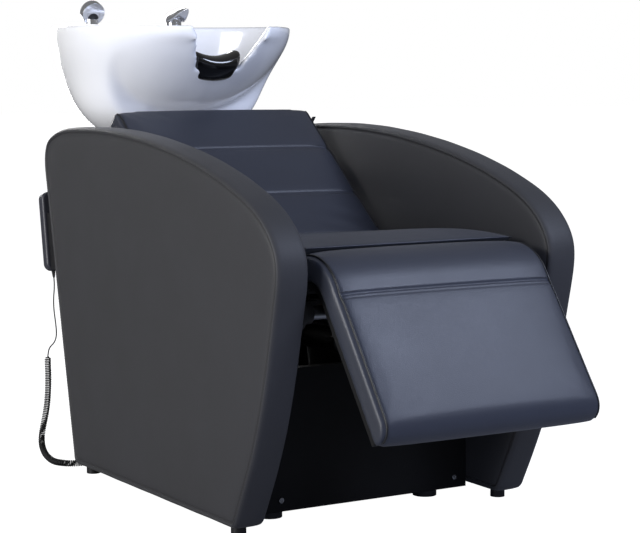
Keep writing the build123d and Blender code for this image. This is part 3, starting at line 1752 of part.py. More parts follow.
# Pipe rail between the column and the right panel, with the waste outlet in it
outlet_x, outlet_back, outlet_height = waste_hose_points[-1]
tail_x, tail_back, tail_height = supply_points[-1]
supply_count = len(supply_points)
supply_routes = []
for side in (-1, 1):
    route = []
    for index, (x, back, height) in enumerate(supply_points):
        offset = supply_root_step + (supply_end_step - supply_root_step) * index / (supply_count - 1)
        route.append((x + side * offset, back, height))
    supply_routes.append(tuple(route))
rail_top = outlet_height - pipe_rail_drop
rail_bottom = rail_top - pipe_rail_thickness
neck_top = outlet_height - hose_end_gap
neck_length = neck_top - rail_bottom
with BuildPart() as pipe_rail:
    with Locations(spot(column_side / 2, column_back, rail_top)):
        Box(
            inner_face - column_side / 2,
            column_side,
            pipe_rail_thickness,
            align=(Align.MIN, Align.CENTER, Align.MAX),
        )
    with Locations(spot(outlet_x, outlet_back, neck_top)):
        Cylinder(waste_neck_radius, neck_length, align=(Align.CENTER, Align.CENTER, Align.MAX))
    with Locations(spot(outlet_x, outlet_back, rail_bottom)):
        Cylinder(
            waste_outlet_radius,
            waste_outlet_length,
            align=(Align.CENTER, Align.CENTER, Align.MAX),
        )
    with Locations(spot(outlet_x, outlet_back, neck_top)):
        Cylinder(
            waste_bore_radius,
            neck_length + waste_outlet_length,
            align=(Align.CENTER, Align.CENTER, Align.MAX),
            mode=Mode.SUBTRACT,
        )
    for route in supply_routes:
        with Locations(spot(*route[-1])):
            Cylinder(hose_nut_radius + soft_gap, 2 * waste_outlet_length, mode=Mode.SUBTRACT)
finish(pipe_rail.part, "pipe_rail")


# Mixer tap on the basin's deck
tap_plane = Plane(origin=spot(tap_side, tap_back, rim_height), z_dir=(0, 0, 1))
with BuildPart() as mixer_body:
    with BuildSketch(tap_plane):
        Circle(mixer_base_radius)
    extrude(amount=mixer_base_height)
    fillet(mixer_body.faces().sort_by(Axis.Z)[-1].edges(), radius=mixer_base_height / 2)
    with BuildSketch(tap_plane):
        Circle(mixer_body_radius)
    extrude(amount=mixer_body_height)
    with BuildSketch(tap_plane):
        Circle(mixer_tail_radius)
    extrude(amount=-mixer_tail_length)
    with BuildSketch(tap_plane.offset(-basin_wall - soft_gap)):
        RegularPolygon(mixer_nut_radius, nut_sides)
    extrude(amount=-mixer_nut_height)
finish(mixer_body.part, "mixer_body")

with BuildPart() as mixer_hub:
    with BuildSketch(tap_plane.offset(mixer_body_height + mixer_play)):
        Circle(mixer_hub_radius)
    extrude(amount=mixer_hub_height)
finish(mixer_hub.part, "mixer_hub")

lever_root = rim_height + mixer_body_height + mixer_hub_height + 2 * mixer_play
lever_bow = (-(mixer_hub_radius + lever_reach) / 2, lever_rise * lever_bow_share)
lever_tip = (-lever_reach, lever_rise)
lever_under_tip = (-lever_reach, lever_rise - lever_tip_thickness)
lever_neck = (-mixer_hub_radius, lever_root_thickness)
with BuildPart() as mixer_lever:
    with BuildSketch(side_plane(tap_side - lever_width / 2, tap_back, lever_root)):
        with BuildLine():
            ThreePointArc((mixer_hub_radius, 0), (0, lever_root_thickness), lever_neck)
            ThreePointArc(lever_neck, (lever_bow[0], lever_root_thickness + lever_bow[1]), lever_tip)
            Line(lever_tip, lever_under_tip)
            ThreePointArc(lever_under_tip, lever_bow, (-mixer_hub_radius, 0))
            Line((-mixer_hub_radius, 0), (mixer_hub_radius, 0))
        make_face()
        with Locations((mixer_hub_radius, lever_barrel_radius)):
            Circle(lever_barrel_radius)
    extrude(amount=lever_width)
    fillet(mixer_lever.edges().filter_by(Axis.Z), radius=lever_corner_round)
finish(mixer_lever.part, "mixer_lever")


# Hand shower in its collar
shower_plane = Plane(origin=spot(-tap_side, tap_back, rim_height), z_dir=(0, 0, 1))
with BuildPart() as shower_collar:
    with BuildSketch(shower_plane):
        Circle(collar_radius)
    extrude(amount=collar_height)
    with BuildSketch(shower_plane):
        Circle(collar_tail_radius)
    extrude(amount=-collar_tail_length)
    with BuildSketch(shower_plane.offset(-basin_wall - soft_gap)):
        RegularPolygon(collar_nut_radius, nut_sides)
    extrude(amount=-mixer_nut_height)
    with BuildSketch(shower_plane.offset(collar_height)):
        Circle(shower_stem_radius + collar_play)
    extrude(amount=-collar_height - collar_socket_depth, mode=Mode.SUBTRACT)
    with BuildSketch(shower_plane):
        Circle(hose_radius + face_gap)
    extrude(amount=-collar_tail_length, mode=Mode.SUBTRACT)
finish(shower_collar.part, "shower_collar")

head_turn = math.radians(shower_head_tilt)
head_out = Vector(0, -math.cos(head_turn), -math.sin(head_turn))
head_center = Vector(*spot(-tap_side, tap_back, rim_height + shower_head_lift))
head_plane = Plane(
    origin=head_center - head_out * shower_head_length / 2, x_dir=(1, 0, 0), z_dir=head_out
)
with BuildPart() as hand_shower:
    with BuildSketch(shower_plane.offset(collar_play - collar_socket_depth)):
        Circle(shower_stem_radius)
    extrude(amount=shower_stem_length)
    with BuildSketch(head_plane):
        Circle(shower_head_radius * shower_back_share)
    with BuildSketch(head_plane.offset(shower_head_length * (1 - shower_back_share))):
        Circle(shower_head_radius)
    loft()
    with BuildSketch(head_plane.offset(shower_head_length * (1 - shower_back_share))):
        Circle(shower_head_radius)
    extrude(amount=shower_head_length * shower_back_share)
    with BuildSketch(head_plane.offset(shower_head_length)):
        Circle(shower_face_radius)
    extrude(amount=-shower_face_recess, mode=Mode.SUBTRACT)
    with BuildSketch(shower_plane.offset(collar_play - collar_socket_depth)):
        Circle(hose_radius)
    extrude(amount=-shower_hose_drop)
finish(hand_shower.part, "hand_shower")


# Water hoses: hot and cold supply with their nuts, and the shower's own hose
shower_hose_end = rim_height + collar_play - collar_socket_depth - shower_hose_drop
shower_route = (
    (-tap_side, tap_back, shower_hose_end - hose_end_gap),
) + shower_hose_points
with BuildPart() as water_hoses:
    for number, route in enumerate(supply_routes):
        cord_tube(route, hose_radius, f"supply hose {number}")
        with Locations(spot(*route[-1])):
            Cylinder(
                hose_nut_radius, hose_nut_length, align=(Align.CENTER, Align.CENTER, Align.MAX)
            )
    cord_tube(shower_route, hose_radius, "shower hose")
finish(water_hoses.part, "water_hoses")
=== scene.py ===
import json
import logging
import math
from collections.abc import Sequence
from dataclasses import dataclass
from enum import Enum

import bmesh
import bpy
import numpy as np
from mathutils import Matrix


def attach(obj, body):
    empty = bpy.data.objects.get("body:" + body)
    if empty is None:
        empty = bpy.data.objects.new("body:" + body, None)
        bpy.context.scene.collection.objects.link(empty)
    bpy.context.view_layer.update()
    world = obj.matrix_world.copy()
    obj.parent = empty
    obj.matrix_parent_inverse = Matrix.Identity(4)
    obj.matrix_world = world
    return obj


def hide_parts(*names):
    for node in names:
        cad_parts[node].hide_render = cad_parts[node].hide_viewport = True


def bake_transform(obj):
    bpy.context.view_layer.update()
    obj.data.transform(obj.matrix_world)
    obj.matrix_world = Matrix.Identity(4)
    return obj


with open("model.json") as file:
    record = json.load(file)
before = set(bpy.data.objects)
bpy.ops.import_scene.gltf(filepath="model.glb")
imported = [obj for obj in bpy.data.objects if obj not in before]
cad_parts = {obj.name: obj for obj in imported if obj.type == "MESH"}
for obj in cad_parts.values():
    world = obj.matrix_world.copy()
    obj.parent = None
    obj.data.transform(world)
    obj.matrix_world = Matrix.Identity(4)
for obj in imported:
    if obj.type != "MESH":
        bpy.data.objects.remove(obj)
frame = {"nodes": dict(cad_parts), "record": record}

LOG = logging.getLogger("washing_bed")
Points = np.ndarray
Faces = np.ndarray
Piece = bpy.types.Object
Socket = bpy.types.NodeSocket
Pairs = tuple[tuple[float, float], ...]
Triples = tuple[tuple[float, float, float], ...]

# Millimetres from the chair's own zero, under the seat's rear end, to the row frame's
DATUM_BACK = 24.095
CUSHION_HALF_WIDTH = 249.0
SEAM_INSET = 6.5

# Metres: from stitch to stitch, along one stitch, the thread's radius and the piping's
STITCH_PITCH, STITCH_LENGTH, THREAD_RADIUS = 0.0044, 0.0034, 0.00045
PIPING_RADIUS = 0.0022


# ---------------------------------------------------------------- small tools


def placed(points: Points | Sequence[Sequence[float]]) -> Points:
    """Turn places in the chair's measures into the row frame.

    Args:
        points: Rows of across, back and height, in millimetres.

    Returns:
        Rows of x, y and z, in metres: the datum is added to back, and all is over 1000.
    """
    return (np.asarray(points, float) + (0.0, DATUM_BACK, 0.0)) * 0.001


def at_side(across: float | Points, rows: Points) -> Points:
    """Rows of back and height with their place across the chair in front of them."""
    return np.column_stack([np.full(len(rows), across), rows])


def srgb(code: str) -> tuple[float, float, float, float]:
    """Turn a hex colour into linear red, green, blue and full alpha.

    Args:
        code: Six hex digits after a hash sign.

    Returns:
        The linear colour: under 0.04045 a channel is over 12.92, else ((c + 0.055) / 1.055) ** 2.4.
    """
    channels = [int(code[i : i + 2], 16) / 255 for i in (1, 3, 5)]
    linear = [c / 12.92 if c <= 0.04045 else ((c + 0.055) / 1.055) ** 2.4 for c in channels]
    return (linear[0], linear[1], linear[2], 1.0)


def plug(node: bpy.types.Node, inputs: dict[str | int, object]) -> None:
    """Give each named input of a shader node its value, or its link where that is a socket."""
    for name, value in inputs.items():
        if isinstance(value, bpy.types.NodeSocket):
            node.id_data.links.new(value, node.inputs[name])
        else:
            node.inputs[name].default_value = value


def add_node(
    tree: bpy.types.NodeTree,
    kind: str,
    settings: dict[str, object] | None = None,
    inputs: dict[str | int, object] | None = None,
) -> bpy.types.Node:
    """Add a shader node with its settings, socket values and links.

    Args:
        tree: The node tree.
        kind: The node's type name without its ShaderNode prefix.
        settings: Properties of the node itself.
        inputs: A value or an output socket for each named input.

    Returns:
        The new node.
    """
    node = tree.nodes.new("ShaderNode" + kind)
    for name, value in (settings or {}).items():
        setattr(node, name, value)
    plug(node, inputs or {})
    return node


def grid_faces(rows: int, columns: int) -> Faces:
    """Quads of a grid of rows times columns points, each row joined round to its start.

    Args:
        rows: Number of rows.
        columns: Number of points in a row.

    Returns:
        Four point numbers a face: (r, c), (r, c + 1), (r + 1, c + 1), (r + 1, c).
    """
    r, c = np.divmod(np.arange((rows - 1) * columns), columns)
    here, below, after = r * columns, (r + 1) * columns, (c + 1) % columns
    return np.stack([here + c, here + after, below + after, below + c], 1)


def loft(sections: Points) -> tuple[Points, list]:
    """Closed sections joined by quads, with one face over the first and one over the last.

    Args:
        sections: Places in the chair's measures, by section, point and coordinate.

    Returns:
        The points in metres and the faces.
    """
    rows, count = sections.shape[:2]
    faces = grid_faces(rows, count).tolist()
    faces += [list(range(count)), [(rows - 1) * count + i for i in range(count)][::-1]]
    return placed(sections).reshape(-1, 3), faces


def new_piece(name: str, points: Points, faces: Sequence, outward: bool = True) -> Piece:
    """Make a smooth-shaded mesh object at the origin.

    Args:
        name: The piece's name.
        points: Its vertices in metres.
        faces: Its faces, as point numbers.
        outward: Whether doubles are merged and the normals turned outwards.

    Returns:
        The linked object.
    """
    mesh = bpy.data.meshes.new(name)
    rows = faces.tolist() if isinstance(faces, np.ndarray) else [list(face) for face in faces]
    mesh.from_pydata(np.asarray(points, float).tolist(), [], rows)
    if outward:
        shell = bmesh.new()
        shell.from_mesh(mesh)
        bmesh.ops.remove_doubles(shell, verts=shell.verts, dist=1e-6)
        bmesh.ops.recalc_face_normals(shell, faces=shell.faces)
        shell.to_mesh(mesh)
        shell.free()
    mesh.polygons.foreach_set("use_smooth", np.ones(len(mesh.polygons), bool))
    mesh.update()
    piece = bpy.data.objects.new(name, mesh)
    bpy.context.scene.collection.objects.link(piece)
    return piece


def coordinates(mesh: bpy.types.Mesh, what: str = "co") -> Points:
    """The places of a mesh's vertices, or another value of theirs, as rows of x, y and z."""
    flat = np.empty(len(mesh.vertices) * 3)
    mesh.vertices.foreach_get(what, flat)
    return flat.reshape(-1, 3)


def move_to(mesh: bpy.types.Mesh, points: Points) -> None:
    """Put the mesh's vertices at these rows of x, y and z."""
    mesh.vertices.foreach_set("co", np.ascontiguousarray(points).ravel())
    mesh.update()


def apply_all(piece: Piece) -> Piece:
    """Apply all modifiers of a piece and return it."""
    graph = bpy.context.evaluated_depsgraph_get()
    graph.update()
    mesh = bpy.data.meshes.new_from_object(piece.evaluated_get(graph))
    piece.modifiers.clear()
    piece.data = mesh
    return piece


def add_modifier(piece: Piece, kind: str, **settings: object) -> Piece:
    """Add a modifier of a kind, with its settings, to a piece and return the piece."""
    modifier = piece.modifiers.new(kind, kind)
    for name, value in settings.items():
        setattr(modifier, name, value)
    return piece


def unit(vectors: Points) -> Points:
    """Rows scaled to length one."""
    return vectors / np.maximum(np.linalg.norm(vectors, axis=-1, keepdims=True), 1e-12)


def smoothstep(low: float, high: float, values: Points) -> Points:
    """0 under low, 1 over high, and t * t * (3 - 2 * t) between them."""
    share = np.clip((values - low) / (high - low), 0.0, 1.0)
    return share * share * (3 - 2 * share)


def clamped_spline(points: Points, start: Points, end: Points, count: int) -> Points:
    """Smooth curve through points, with a given heading at each end.

    A cubic runs between neighbours, over a parameter that grows with the straight distance, and
    the second derivatives come from the rows that make first and second derivatives agree.

    Args:
        points: Rows of two numbers.
        start: Heading at the first point.
        end: Heading at the last point.
        count: Number of points returned, evenly spaced in the parameter.

    Returns:
        The curve's points.
    """
    points = np.asarray(points, float)
    gaps = np.linalg.norm(np.diff(points, axis=0), axis=1)
    slopes = np.diff(points, axis=0) / gaps[:, None]
    size = len(points)
    matrix = np.zeros((size, size))
    right = np.zeros((size, 2))
    matrix[0, :2] = (2 * gaps[0], gaps[0])
    right[0] = 6 * (slopes[0] - unit(np.asarray(start, float)))
    matrix[-1, -2:] = (gaps[-1], 2 * gaps[-1])
    right[-1] = 6 * (unit(np.asarray(end, float)) - slopes[-1])
    inner = np.arange(1, size - 1)
    matrix[inner, inner - 1] = gaps[:-1]
    matrix[inner, inner] = 2 * (gaps[:-1] + gaps[1:])
    matrix[inner, inner + 1] = gaps[1:]
    right[1:-1] = 6 * np.diff(slopes, axis=0)
    bends = np.linalg.solve(matrix, right)
    knots = np.concatenate([[0.0], np.cumsum(gaps)])
    at = np.linspace(0, knots[-1], count)
    span = np.clip(np.searchsorted(knots, at, side="right") - 1, 0, size - 2)
    gap = gaps[span][:, None]
    before = (at - knots[span])[:, None]
    after = gap - before
    first, second = bends[span], bends[span + 1]
    return (
        first * after**3 / (6 * gap)
        + second * before**3 / (6 * gap)
        + (points[span] / gap - first * gap / 6) * after
        + (points[span + 1] / gap - second * gap / 6) * before
    )


def through(points: Sequence[Sequence[float]], count: int) -> Points:
    """Smooth open curve through points whose ends head along their first and last runs."""
    rows = np.asarray(points, float)
    return clamped_spline(rows, rows[1] - rows[0], rows[-1] - rows[-2], count)


def evenly(points: Points, count: int, closed: bool = False) -> Points:
    """The same line with its points an equal distance apart.

    Args:
        points: Rows of the line.
        count: Number of points returned.
        closed: Whether the line runs back to its start, which isn't repeated.

    Returns:
        Points at equal shares of the line's length.
    """
    rows = np.vstack([points, points[:1]]) if closed else points
    along = np.concatenate([[0.0], np.cumsum(np.linalg.norm(np.diff(rows, axis=0), axis=1))])
    at = np.linspace(0, along[-1], count, endpoint=not closed)
    return np.stack([np.interp(at, along, rows[:, i]) for i in range(rows.shape[1])], 1)


def averaged(rows: Points, width: int) -> Points:
    """Rows of three numbers, each the mean of an odd number of rows around it."""
    wide = np.pad(rows, ((width // 2, width // 2), (0, 0)), mode="edge")
    return np.stack([np.convolve(column, np.ones(width) / width, "valid") for column in wide.T], 1)


def arc(center: Sequence[float], radius: float, start: float, end: float, count: int) -> Points:
    """Points of an arc: centre + radius * (cos, sin) from the start to the end angle in degrees."""
    angles = np.radians(np.linspace(start, end, count))
    return np.asarray(center) + radius * np.stack([np.cos(angles), np.sin(angles)], 1)


def headings(line: Points, closed: bool = False) -> Points:
    """Unit heading at each point of a line, from the point before to the point after."""
    if closed:
        return unit(np.roll(line, -1, 0) - np.roll(line, 1, 0))
    return unit(np.gradient(line, axis=0))


def frames_along(line: Points, hint: Sequence[float]) -> tuple[Points, Points]:
    """Two unit directions across a line at each of its points.

    Args:
        line: Points in space.
        hint: A direction that the line never runs along.

    Returns:
        The hint with its part along the heading taken off, and the heading crossed with that.
    """
    ahead = headings(line)
    reach = np.broadcast_to(np.asarray(hint, float), ahead.shape)
    side = unit(reach - (reach * ahead).sum(1, keepdims=True) * ahead)
    return side, np.cross(ahead, side)


def tube(
    line: Points, radius: float | Points, sides: int, hint: Sequence[float]
) -> tuple[Points, Faces]:
    """A round tube along an open line, closed at both ends.

    Each ring is the point + radius * (cos * side + sin * cross), and each end is a fan.

    Args:
        line: The centreline in metres.
        radius: One radius, or one for each point.
        sides: Points in a ring.
        hint: A direction that the line never runs along.

    Returns:
        The points and the faces.
    """
    side, cross = frames_along(line, hint)
    angle = np.linspace(0, 2 * np.pi, sides, endpoint=False)[None, :, None]
    reach = np.broadcast_to(np.asarray(radius, float), (len(line),))[:, None, None]
    rings = line[:, None] + reach * (side[:, None] * np.cos(angle) + cross[:, None] * np.sin(angle))
    points = np.vstack([rings.reshape(-1, 3), line[:1], line[-1:]])
    faces = grid_faces(len(line), sides).tolist()
    first, last, top = len(points) - 2, len(points) - 1, (len(line) - 1) * sides
    pairs = [(i, (i + 1) % sides) for i in range(sides)]
    faces += [(first, b, a) for a, b in pairs]
    faces += [(last, top + a, top + b) for a, b in pairs]
    return points, faces


def lathe(
    profile: Sequence[Sequence[float]],
    center: Sequence[float],
    axis: Sequence[float],
    hint: Sequence[float],
    sides: int,
) -> tuple[Points, Faces]:
    """A turned shape round an axis, from a profile of radius and height in millimetres.

    Args:
        profile: Rows of radius and height; it starts and ends at radius zero.
        center: Where height zero lies, in the chair's measures.
        axis: The axis's direction.
        hint: A direction across the axis.
        sides: Points in a ring.

    Returns:
        Points at centre + height * axis + radius * (cos * side + sin * cross), and their quads.
    """
    rows = np.asarray(profile, float) * 0.001
    up = unit(np.asarray(axis, float))
    side = unit(np.asarray(hint, float) - np.dot(hint, up) * up)
    cross = np.cross(up, side)
    angle = np.linspace(0, 2 * np.pi, sides, endpoint=False)
    ring = np.cos(angle)[:, None] * side + np.sin(angle)[:, None] * cross
    points = placed([center])[0] + rows[:, None, 1:2] * up + rows[:, None, 0:1] * ring[None]
    return points.reshape(-1, 3), grid_faces(len(rows), sides)


def merged(parts: Sequence[tuple[Points, Faces]]) -> tuple[Points, list]:
    """Several meshes as one set of points and faces."""
    points, faces, start = [], [], 0
    for rows, cells in parts:
        points.append(rows)
        faces.extend([[int(i) + start for i in cell] for cell in cells])
        start += len(rows)
    return np.vstack(points), faces


def stitch_row(line: Points, outward: Points, closed: bool = False) -> tuple[Points, Faces]:
    """A row of thread stitches lying along a line on a surface.

    A stitch is five rings of six points, whose radius is the thread's times (0, 0.8, 1, 0.8, 0)
    and whose height over the surface is highest in its middle.

    Args:
        line: The seam's points in metres.
        outward: The surface's unit normal at each of them.
        closed: Whether the row runs round a loop.

    Returns:
        The points and the faces of all stitches.
    """
    rows = np.hstack([line, outward])
    total = np.linalg.norm(np.diff(line, axis=0), axis=1).sum()
    even = evenly(rows, max(2, int(total / STITCH_PITCH)), closed)
    spot, normal = even[:, :3], unit(even[:, 3:])
    ahead = headings(spot, closed)
    across = np.cross(ahead, normal)[:, None]
    rings, sides = 5, 6
    along = (np.array([-0.5, -0.34, 0.0, 0.34, 0.5]) * STITCH_LENGTH)[None, :, None]
    reach = (np.array([0.02, 0.8, 1.0, 0.8, 0.02]) * THREAD_RADIUS)[None, :, None, None]
    lift = (np.array([-0.5, 0.1, 0.5, 0.1, -0.5]) * THREAD_RADIUS)[None, :, None]
    angle = np.linspace(0, 2 * np.pi, sides, endpoint=False)[None, :, None]
    centre = spot[:, None] + ahead[:, None] * along + normal[:, None] * lift
    ring = across * np.cos(angle) + normal[:, None] * np.sin(angle)
    points = centre[:, :, None] + ring[:, None] * reach
    starts = np.arange(len(spot)) * rings * sides
    faces = (grid_faces(rings, sides)[None] + starts[:, None, None]).reshape(-1, 4)
    return points.reshape(-1, 3), faces


def drape(line: Points, target: Piece) -> tuple[Points, Points]:
    """Lay a line on a piece, each point on the nearest place of its surface.

    Args:
        line: Points near the surface.
        target: The piece.

    Returns:
        The points on the surface, and unit directions outwards that vary smoothly along them.
    """
    mesh = bpy.data.meshes.new("drape")
    mesh.from_pydata(line.tolist(), [(i, i + 1) for i in range(len(line) - 1)], [])
    probe = bpy.data.objects.new("drape", mesh)
    bpy.context.scene.collection.objects.link(probe)
    wrap = {"target": target, "wrap_method": "NEAREST_SURFACEPOINT"}
    lying = coordinates(apply_all(add_modifier(probe, "SHRINKWRAP", **wrap)).data)
    wrap |= {"wrap_mode": "ABOVE_SURFACE", "offset": 0.004}
    above = coordinates(apply_all(add_modifier(probe, "SHRINKWRAP", **wrap)).data)
    bpy.data.objects.remove(probe)
    return lying, unit(averaged(unit(above - lying), 5))


# ------------------------------------------------------------------ finishes


def per_metre(millimetres: float) -> float:
    """Scale of a pattern on Object coordinates whose cell has this size."""
    return 1000.0 / millimetres


# Bands of a wave pattern in one unit of its scale, rounded
WAVES_IN_SCALE = 6.3


@dataclass
class Maker:
    """A material in the making: its Principled shader, linked to the output, and its patterns."""

    name: str

    def __post_init__(self) -> None:
        """Start the material with its shader and the Object coordinates."""
        self.material = bpy.data.materials.new(self.name)
        self.material.use_nodes = True
        self.tree = self.material.node_tree
        self.tree.nodes.clear()
        self.surface = add_node(self.tree, "BsdfPrincipled")
        add_node(self.tree, "OutputMaterial", inputs={"Surface": self.surface.outputs[0]})
        self.place = add_node(self.tree, "TexCoord").outputs["Object"]

    def scaled(self, scale: tuple[float, float, float]) -> Socket:
        """The Object coordinates with each axis scaled."""
        inputs = {"Vector": self.place, "Scale": scale}
        return add_node(self.tree, "Mapping", None, inputs).outputs[0]

    def noise(self, cell_mm: float, detail: float, at: Socket | None = None) -> Socket:
        """A noise with cells of this size, on the Object coordinates or on scaled ones."""
        place = self.place if at is None else at
        inputs = {"Vector": place, "Scale": per_metre(cell_mm), "Detail": detail}
        return add_node(self.tree, "TexNoise", None, inputs).outputs["Fac"]

    def bands(self, cell_mm: float, direction: str = "DIAGONAL", at: Socket | None = None,
              **more: float) -> Socket:
        """Parallel bands of this width, on the Object coordinates or on scaled ones."""
        place = self.place if at is None else at
        inputs = {"Vector": place, "Scale": per_metre(cell_mm) / WAVES_IN_SCALE} | more
        return add_node(self.tree, "TexWave", {"bands_direction": direction}, inputs).outputs["Fac"]

    def ramp(self, value: Socket, low: float = 0.0, high: float = 1.0, to_low: float = 0.0,
             to_high: float = 1.0) -> Socket:
        """A value mapped from one range to another."""
        inputs = {"Value": value, "From Min": low, "From Max": high}
        inputs |= {"To Min": to_low, "To Max": to_high}
        return add_node(self.tree, "MapRange", None, inputs).outputs["Result"]

    def math(self, operation: str, *values: Socket | float) -> Socket:
        """Sockets and numbers joined by an operation."""
        inputs = dict(enumerate(values))
        return add_node(self.tree, "Math", {"operation": operation}, inputs).outputs[0]

    def mix(self, share: Socket, low: Socket | str, high: Socket | str) -> Socket:
        """Two colours, each a socket or a hex code, mixed by a share."""
        ends = [srgb(end) if isinstance(end, str) else end for end in (low, high)]
        inputs = {"Factor": share, "A": ends[0], "B": ends[1]}
        return add_node(self.tree, "Mix", {"data_type": "RGBA"}, inputs).outputs["Result"]

    def bump(self, height: Socket, strength: float, distance: float, **more: Socket) -> Socket:
        """The normal of a relief, whose full height is the distance in metres."""
        inputs = {"Height": height, "Strength": strength, "Distance": distance} | more
        return add_node(self.tree, "Bump", None, inputs).outputs["Normal"]

    def finished(self, inputs: dict[str, object]) -> bpy.types.Material:
        """Give the Principled shader its inputs and return the material."""
        plug(self.surface, inputs)
        return self.material


@dataclass(frozen=True)
class UpholsteryVinyl:
    """PVC-coated upholstery cloth, embossed with a fine leather grain.

    The embossing breaks the gloss into a soft satin; the real grain is about 0.8 mm, and is drawn
    at 1.6 mm and up so that it shows.
    """

    name: str
    colour: str
    shade: str
    roughness: float
    grain_mm: float
    grain_depth: float
    specular: float

    def material(self) -> bpy.types.Material:
        """Build the grain, its darker creases and the soft uneven gloss."""
        maker = Maker(self.name)
        cells = {"Vector": maker.place, "Scale": per_metre(self.grain_mm), "Randomness": 0.9}
        pebble = add_node(maker.tree, "TexVoronoi", {"feature": "DISTANCE_TO_EDGE"}, cells)
        crease = maker.ramp(pebble.outputs["Distance"], high=0.22)
        cloud = maker.noise(140.0, 5.0)
        tone = maker.ramp(cloud, 0.3, 0.7)
        relief = maker.math("MULTIPLY_ADD", maker.noise(1.1, 3.0), 0.35, crease)
        return maker.finished({
            "Base Color": maker.mix(crease, self.shade, maker.mix(tone, self.shade, self.colour)),
            "Roughness": maker.ramp(cloud, 0.0, 1.0, self.roughness + 0.06, self.roughness - 0.06),
            "Normal": maker.bump(relief, self.grain_depth, 0.0004),
            "Specular IOR Level": self.specular,
            "IOR": 1.5,
            "Sheen Weight": 0.05,
            "Sheen Roughness": 0.4,
        })


@dataclass(frozen=True)
class Thread:
    """Bonded polyester sewing thread: a soft sheen on a twisted, slightly fuzzy surface."""

    name: str
    colour: str

    def material(self) -> bpy.types.Material:
        """Build the twist as fine slanted bands."""
        maker = Maker(self.name)
        tone = maker.ramp(maker.bands(1.2, Distortion=1.0), to_low=0.6)
        return maker.finished({
            "Base Color": maker.mix(tone, "#050506", self.colour),
            "Roughness": 0.55,
            "Sheen Weight": 0.2,
        })


@dataclass(frozen=True)
class Coated:
    """A hard, even finish over metal or moulded plastic, with faint texture and softened edges that
    carry a painted highlight.

    Powder coat has orange peel of about 1.5 mm; spark-eroded mould texture is finer.
    """

    name: str
    colour: str
    # Colour of the painted highlight along the edges
    edge_highlight_colour: str
    roughness: float
    metallic: float = 0.0
    peel_mm: float = 1.6
    peel_depth: float = 0.12
    coat: float = 0.0
    edge_mm: float = 1.2

    def material(self) -> bpy.types.Material:
        """Build the texture, the uneven gloss and a painted highlight that lightens the edges."""
        maker = Maker(self.name)
        cloud = maker.noise(42.0, 5.0)
        rounded = add_node(maker.tree, "Bevel", {"samples": 4}, {"Radius": self.edge_mm * 0.001})
        normal = rounded.outputs["Normal"]
        flat = add_node(maker.tree, "NewGeometry").outputs["Normal"]
        dot = {"operation": "DOT_PRODUCT"}
        turn = add_node(maker.tree, "VectorMath", dot, {0: normal, 1: flat})
        edge = maker.ramp(turn.outputs["Value"], 0.97, 0.8)
        # Painted highlight: where the bevelled normal turns from the face, the colour is lightened
        # towards the edge highlight colour, broken up by the cloud
        painted_edge_highlight = maker.math("MULTIPLY", edge, cloud)
        peel = maker.noise(self.peel_mm, 2.0)
        dull, bright = self.roughness + 0.08, max(self.roughness - 0.08, 0.03)
        return maker.finished({
            "Base Color": maker.mix(painted_edge_highlight, self.colour, self.edge_highlight_colour),
            "Roughness": maker.ramp(cloud, 0.0, 1.0, dull, bright),
            "Normal": maker.bump(peel, self.peel_depth, 0.0003, Normal=normal),
            "Metallic": self.metallic,
            "Coat Weight": self.coat,
            "Coat Roughness": 0.08,
        })


@dataclass(frozen=True)
class Glaze:
    """White sanitary glaze on vitreous china: clear, wet-looking, with a faint long ripple."""

    name: str
    colour: str

    def material(self) -> bpy.types.Material:
        """Build a white body under a smooth coat, with a ripple of about 90 mm."""
        maker = Maker(self.name)
        ripple = maker.noise(90.0, 1.0)
        return maker.finished({
            "Base Color": maker.mix(ripple, "#f1f2f5", self.colour),
            "Normal": maker.bump(ripple, 0.12, 0.001),
            "Roughness": 0.16,
            "IOR": 1.52,
            "Coat Weight": 0.6,
            "Coat Roughness": 0.05,
        })


@dataclass(frozen=True)
class Timber:
    """Sawn softwood or birch ply: pale, dry, with grain that runs up the board."""

    name: str
    early: str
    late: str
    ring_mm: float

    def material(self) -> bpy.types.Material:
        """Build the rings as stretched, distorted bands with fine fibres over them."""
        maker = Maker(self.name)
        stretch = maker.scaled((1.0, 1.0, 0.06))
        rings = maker.bands(self.ring_mm, "Y", stretch, Distortion=5.0, Detail=3.0)
        return maker.finished({
            "Base Color": maker.mix(rings, self.early, self.late),
            "Normal": maker.bump(maker.noise(0.9, 4.0, stretch), 0.25, 0.0004),
            "Roughness": 0.75,
        })


@dataclass(frozen=True)
class Braid:
    """Stainless wire braid over a rubber hose: bright crossing strands with dark gaps."""

    name: str
    bright: str
    dark: str

    def material(self) -> bpy.types.Material:
        """Build the crossing strands from two slanted wave patterns of about 2 mm."""
        maker = Maker(self.name)
        mirror = maker.bands(2.0, at=maker.scaled((1.0, 1.0, -1.0)))
        top = maker.math("MAXIMUM", maker.bands(2.0), mirror)
        return maker.finished({
            "Base Color": maker.mix(top, self.dark, self.bright),
            "Normal": maker.bump(top, 0.5, 0.0004),
            "Metallic": 0.9,
            "Roughness": 0.34,
        })


